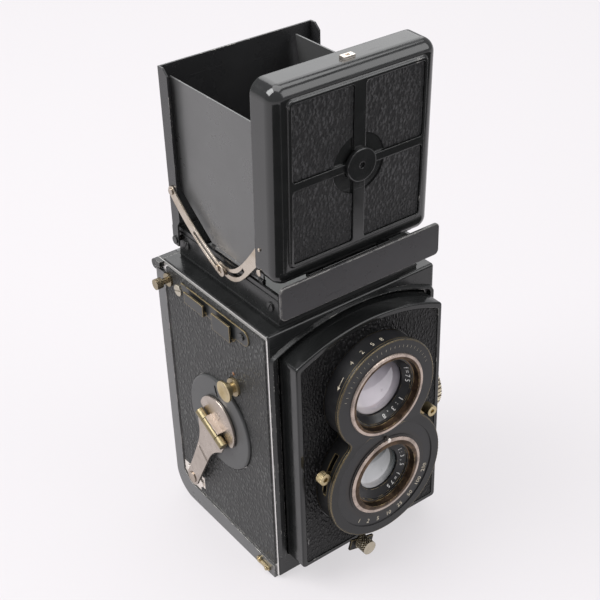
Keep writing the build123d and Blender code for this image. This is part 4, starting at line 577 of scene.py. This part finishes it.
def round_dial(axis, y, radius, words, size, inward=False, lean=0.0):
    """Text items round an axis along Y. words holds (angle in degrees, text).

    inward turns their tops to the axis. lean tips the figures out of the dial plane, to lie on a cone."""
    items = []
    for angle, text in words:
        a = radians(angle)
        out_dir = Vector((cos(a), 0, sin(a)))
        across = Vector((sin(a), 0, -cos(a)))
        top = out_dir
        if inward:
            across, top = -across, -out_dir
        tipped = (top * cos(lean) + Vector((0, -1 if not inward else 1, 0)) * sin(lean)).normalized()
        place = Vector((axis.x, 0, axis.z)) + out_dir * radius
        items.append((text, size, frame_at((place.x, y, place.z), across, tipped)))
    return items


def spread(text, middle, pitch, step=-1):
    """(angle, letter) pairs that set a word round an arc, clockwise from its left end."""
    start = middle - step * pitch * (len(text) - 1) / 2
    return [(start + step * pitch * k, letter) for k, letter in enumerate(text) if letter != " "]


face_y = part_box("lens_housing")[0].y
dial_y = face_y + 0.00035 - PAINT
# shutter speeds round the taking lens, on the lighter band
speeds = [(232, "1"), (246, "2"), (260, "5"), (275, "10"), (291, "25"), (307, "50"), (323, "100"),
          (340, "250")]
marks("speed_figures", "standard", CREAM,
      round_dial(TAKE_AXIS, dial_y, SPEED_R, speeds, SPEED_SIZE, inward=True))
ticks = [(angle, "|") for angle in range(20, 165, TICK_STEP)]
marks("dial_ticks", "standard", CREAM, round_dial(VIEW_AXIS, face_y - PAINT / 2, TICK_R, ticks, TICK_SIZE))
# aperture and focal length figures on the black cones
view_words = spread("1:3,8", -62, 10.5) + spread("f=75", 8, 9.5)
marks("viewing_cone_figures", "standard", WHITE,
      round_dial(VIEW_AXIS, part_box("viewing_lens_ring")[0].y + VIEW_FIGURE_DEPTH, VIEW_FIGURE_R, view_words,
                 VIEW_FIGURE_SIZE, lean=VIEW_LEAN))
take_words = spread("1:3,5", 8, 11.0) + spread("f=75", -52, 11.0)
marks("taking_cone_figures", "standard", WHITE,
      round_dial(TAKE_AXIS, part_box("taking_lens_ring")[0].y + TAKE_FIGURE_DEPTH, TAKE_FIGURE_R, take_words,
                 TAKE_FIGURE_SIZE, lean=TAKE_LEAN))
# aperture scale and arrow on the side wall of the upper drum
wall_r = (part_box("lens_housing")[1].z - VIEW_AXIS.z) + PAINT - DRUM_WALL_STEP
apertures = []
for angle, text in ((126, "4"), (112, "2"), (99, "5"), (88, "8")):
    a = radians(angle)
    out_dir = Vector((cos(a), 0, sin(a)))
    place = Vector((VIEW_AXIS.x, face_y + APERTURE_DEPTH, VIEW_AXIS.z)) + out_dir * wall_r
    apertures.append((text, APERTURE_SIZE, frame_at(place, (sin(a), 0, -cos(a)), (0, 1, 0))))
marks("aperture_figures", "standard", CREAM, apertures)


def arrow(name, angle):
    """Small painted arrow bent round the drum."""
    data, shape = bpy.data.meshes.new(name), bmesh.new()
    steps = 8
    shaft_half, head_half, shaft_end, head_end = 0.00012, 0.0007, 0.0038, 0.0052
    radius = wall_r + 0.00003
    parts = ((shaft_half, 0.0, shaft_end, False), (head_half, shaft_end, head_end, True))
    for half, start, stop, taper in parts:
        rows = []
        for k in range(steps + 1):
            a = radians(angle) + (start + (stop - start) * k / steps) / wall_r
            width = half * (1 - k / steps) + PAINT if taper else half
            for v in (-width, width):
                rows.append(shape.verts.new((VIEW_AXIS.x + radius * cos(a), face_y + ARROW_DEPTH + v,
                                             VIEW_AXIS.z + radius * sin(a))))
        for k in range(steps):
            shape.faces.new((rows[2 * k], rows[2 * k + 1], rows[2 * k + 3], rows[2 * k + 2]))
    shape.to_mesh(data)
    shape.free()
    data.materials.append(CREAM)
    obj = bpy.data.objects.new(name, data)
    bpy.context.scene.collection.objects.link(obj)
    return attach(obj, "standard")


arrow("drum_arrow", 141)

# ---------------------------------------------------------------- floor, camera and light
def sheet_mesh(name, corners, material):
    data = bpy.data.meshes.new(name)
    data.from_pydata([tuple(c) for c in corners], [], [tuple(range(len(corners)))])
    obj = bpy.data.objects.new(name, data)
    obj.data.materials.append(material)
    bpy.context.scene.collection.objects.link(obj)
    obj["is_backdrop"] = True
    return obj


paper = Mat("paper", Roughness=0.85, Emission_Color=(0.97, 0.945, 0.965, 1.0), Emission_Strength=0.63)
fibre = paper.noise(300, 3.0)
paper_look = paper.finish(paper.mix(fibre, (0.165, 0.157, 0.163), (0.160, 0.152, 0.158)))
floor_corners = [(x * FLOOR_HALF, y * FLOOR_HALF, CAD_LOW.z) for x, y in ((-1, -1), (1, -1), (1, 1), (-1, 1))]
sheet_mesh("floor", floor_corners, paper_look)

back = Vector((sin(AZIMUTH) * cos(ELEVATION), -cos(AZIMUTH) * cos(ELEVATION), sin(ELEVATION)))
flat_right = Vector((0, 0, 1)).cross(back).normalized()
flat_up = back.cross(flat_right)
right = flat_right * cos(ROLL) + flat_up * sin(ROLL)
up = -flat_right * sin(ROLL) + flat_up * cos(ROLL)
camera_data = bpy.data.cameras.new("camera")
camera_data.lens, camera_data.sensor_width = LENS, SENSOR
camera_data.clip_start, camera_data.clip_end = 0.01, 20
camera = bpy.data.objects.new("camera", camera_data)
bpy.context.scene.collection.objects.link(camera)
turned = Matrix((right, up, back)).transposed().to_4x4()
camera.matrix_world = Matrix.Translation(CAMERA_PLACE) @ turned
bpy.context.scene.camera = camera


def softbox(name, place, size, power):
    """White area light that faces the middle of the object."""
    data = bpy.data.lights.new(name, "AREA")
    data.shape, data.size, data.size_y = "RECTANGLE", size[0], size[1]
    data.energy = power
    obj = bpy.data.objects.new(name, data)
    bpy.context.scene.collection.objects.link(obj)
    obj.location = place
    obj.rotation_euler = (CAD_MIDDLE - Vector(place)).to_track_quat("-Z", "Y").to_euler()


softbox("key", (-0.75, 0.35, 1.15), (0.9, 0.9), 20.0)
softbox("top", (0.15, 0.1, 1.5), (1.3, 1.3), 14.0)
softbox("rear", (0.80, 1.10, 1.0), (1.2, 0.9), 6.0)
softbox("front_fill", (0.75, -1.0, 0.9), (1.0, 1.0), 7.5)

# two black cards lying in front of the object and to its left, seen only in its polished faces
card_look = Mat("black_card", Roughness=0.95)
weave = card_look.noise(500)
card_dark = card_look.finish(card_look.mix(weave, (0.004, 0.004, 0.004), (0.010, 0.010, 0.010)))
left_outline = ((-0.50, -0.24), (-0.18, -0.07), (-0.03, -0.24), (-0.05, -0.42), (-0.32, -0.62))
front_outline = ((-0.02, -0.215), (0.60, -0.215), (0.80, -1.0), (-0.10, -1.0))
card, front_card = [sheet_mesh(name, [(x, y, CARD_LIFT) for x, y in outline], card_dark)
                    for name, outline in (("black_card", left_outline), ("front_card", front_outline))]
for sheet in (card, front_card):
    sheet.visible_camera = sheet.visible_diffuse = sheet.visible_shadow = False

world = bpy.data.worlds.new("surroundings")
bpy.context.scene.world = world
world.use_nodes = True
tree = world.node_tree
tree.nodes.clear()
out = tree.nodes.new("ShaderNodeOutputWorld")
shade = tree.nodes.new("ShaderNodeBackground")
tree.links.new(shade.outputs[0], out.inputs[0])
shade.inputs["Color"].default_value = (0.94, 0.94, 0.97, 1)
shade.inputs["Strength"].default_value = 0.45
bpy.context.scene.view_settings.view_transform = "Standard"

low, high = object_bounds()
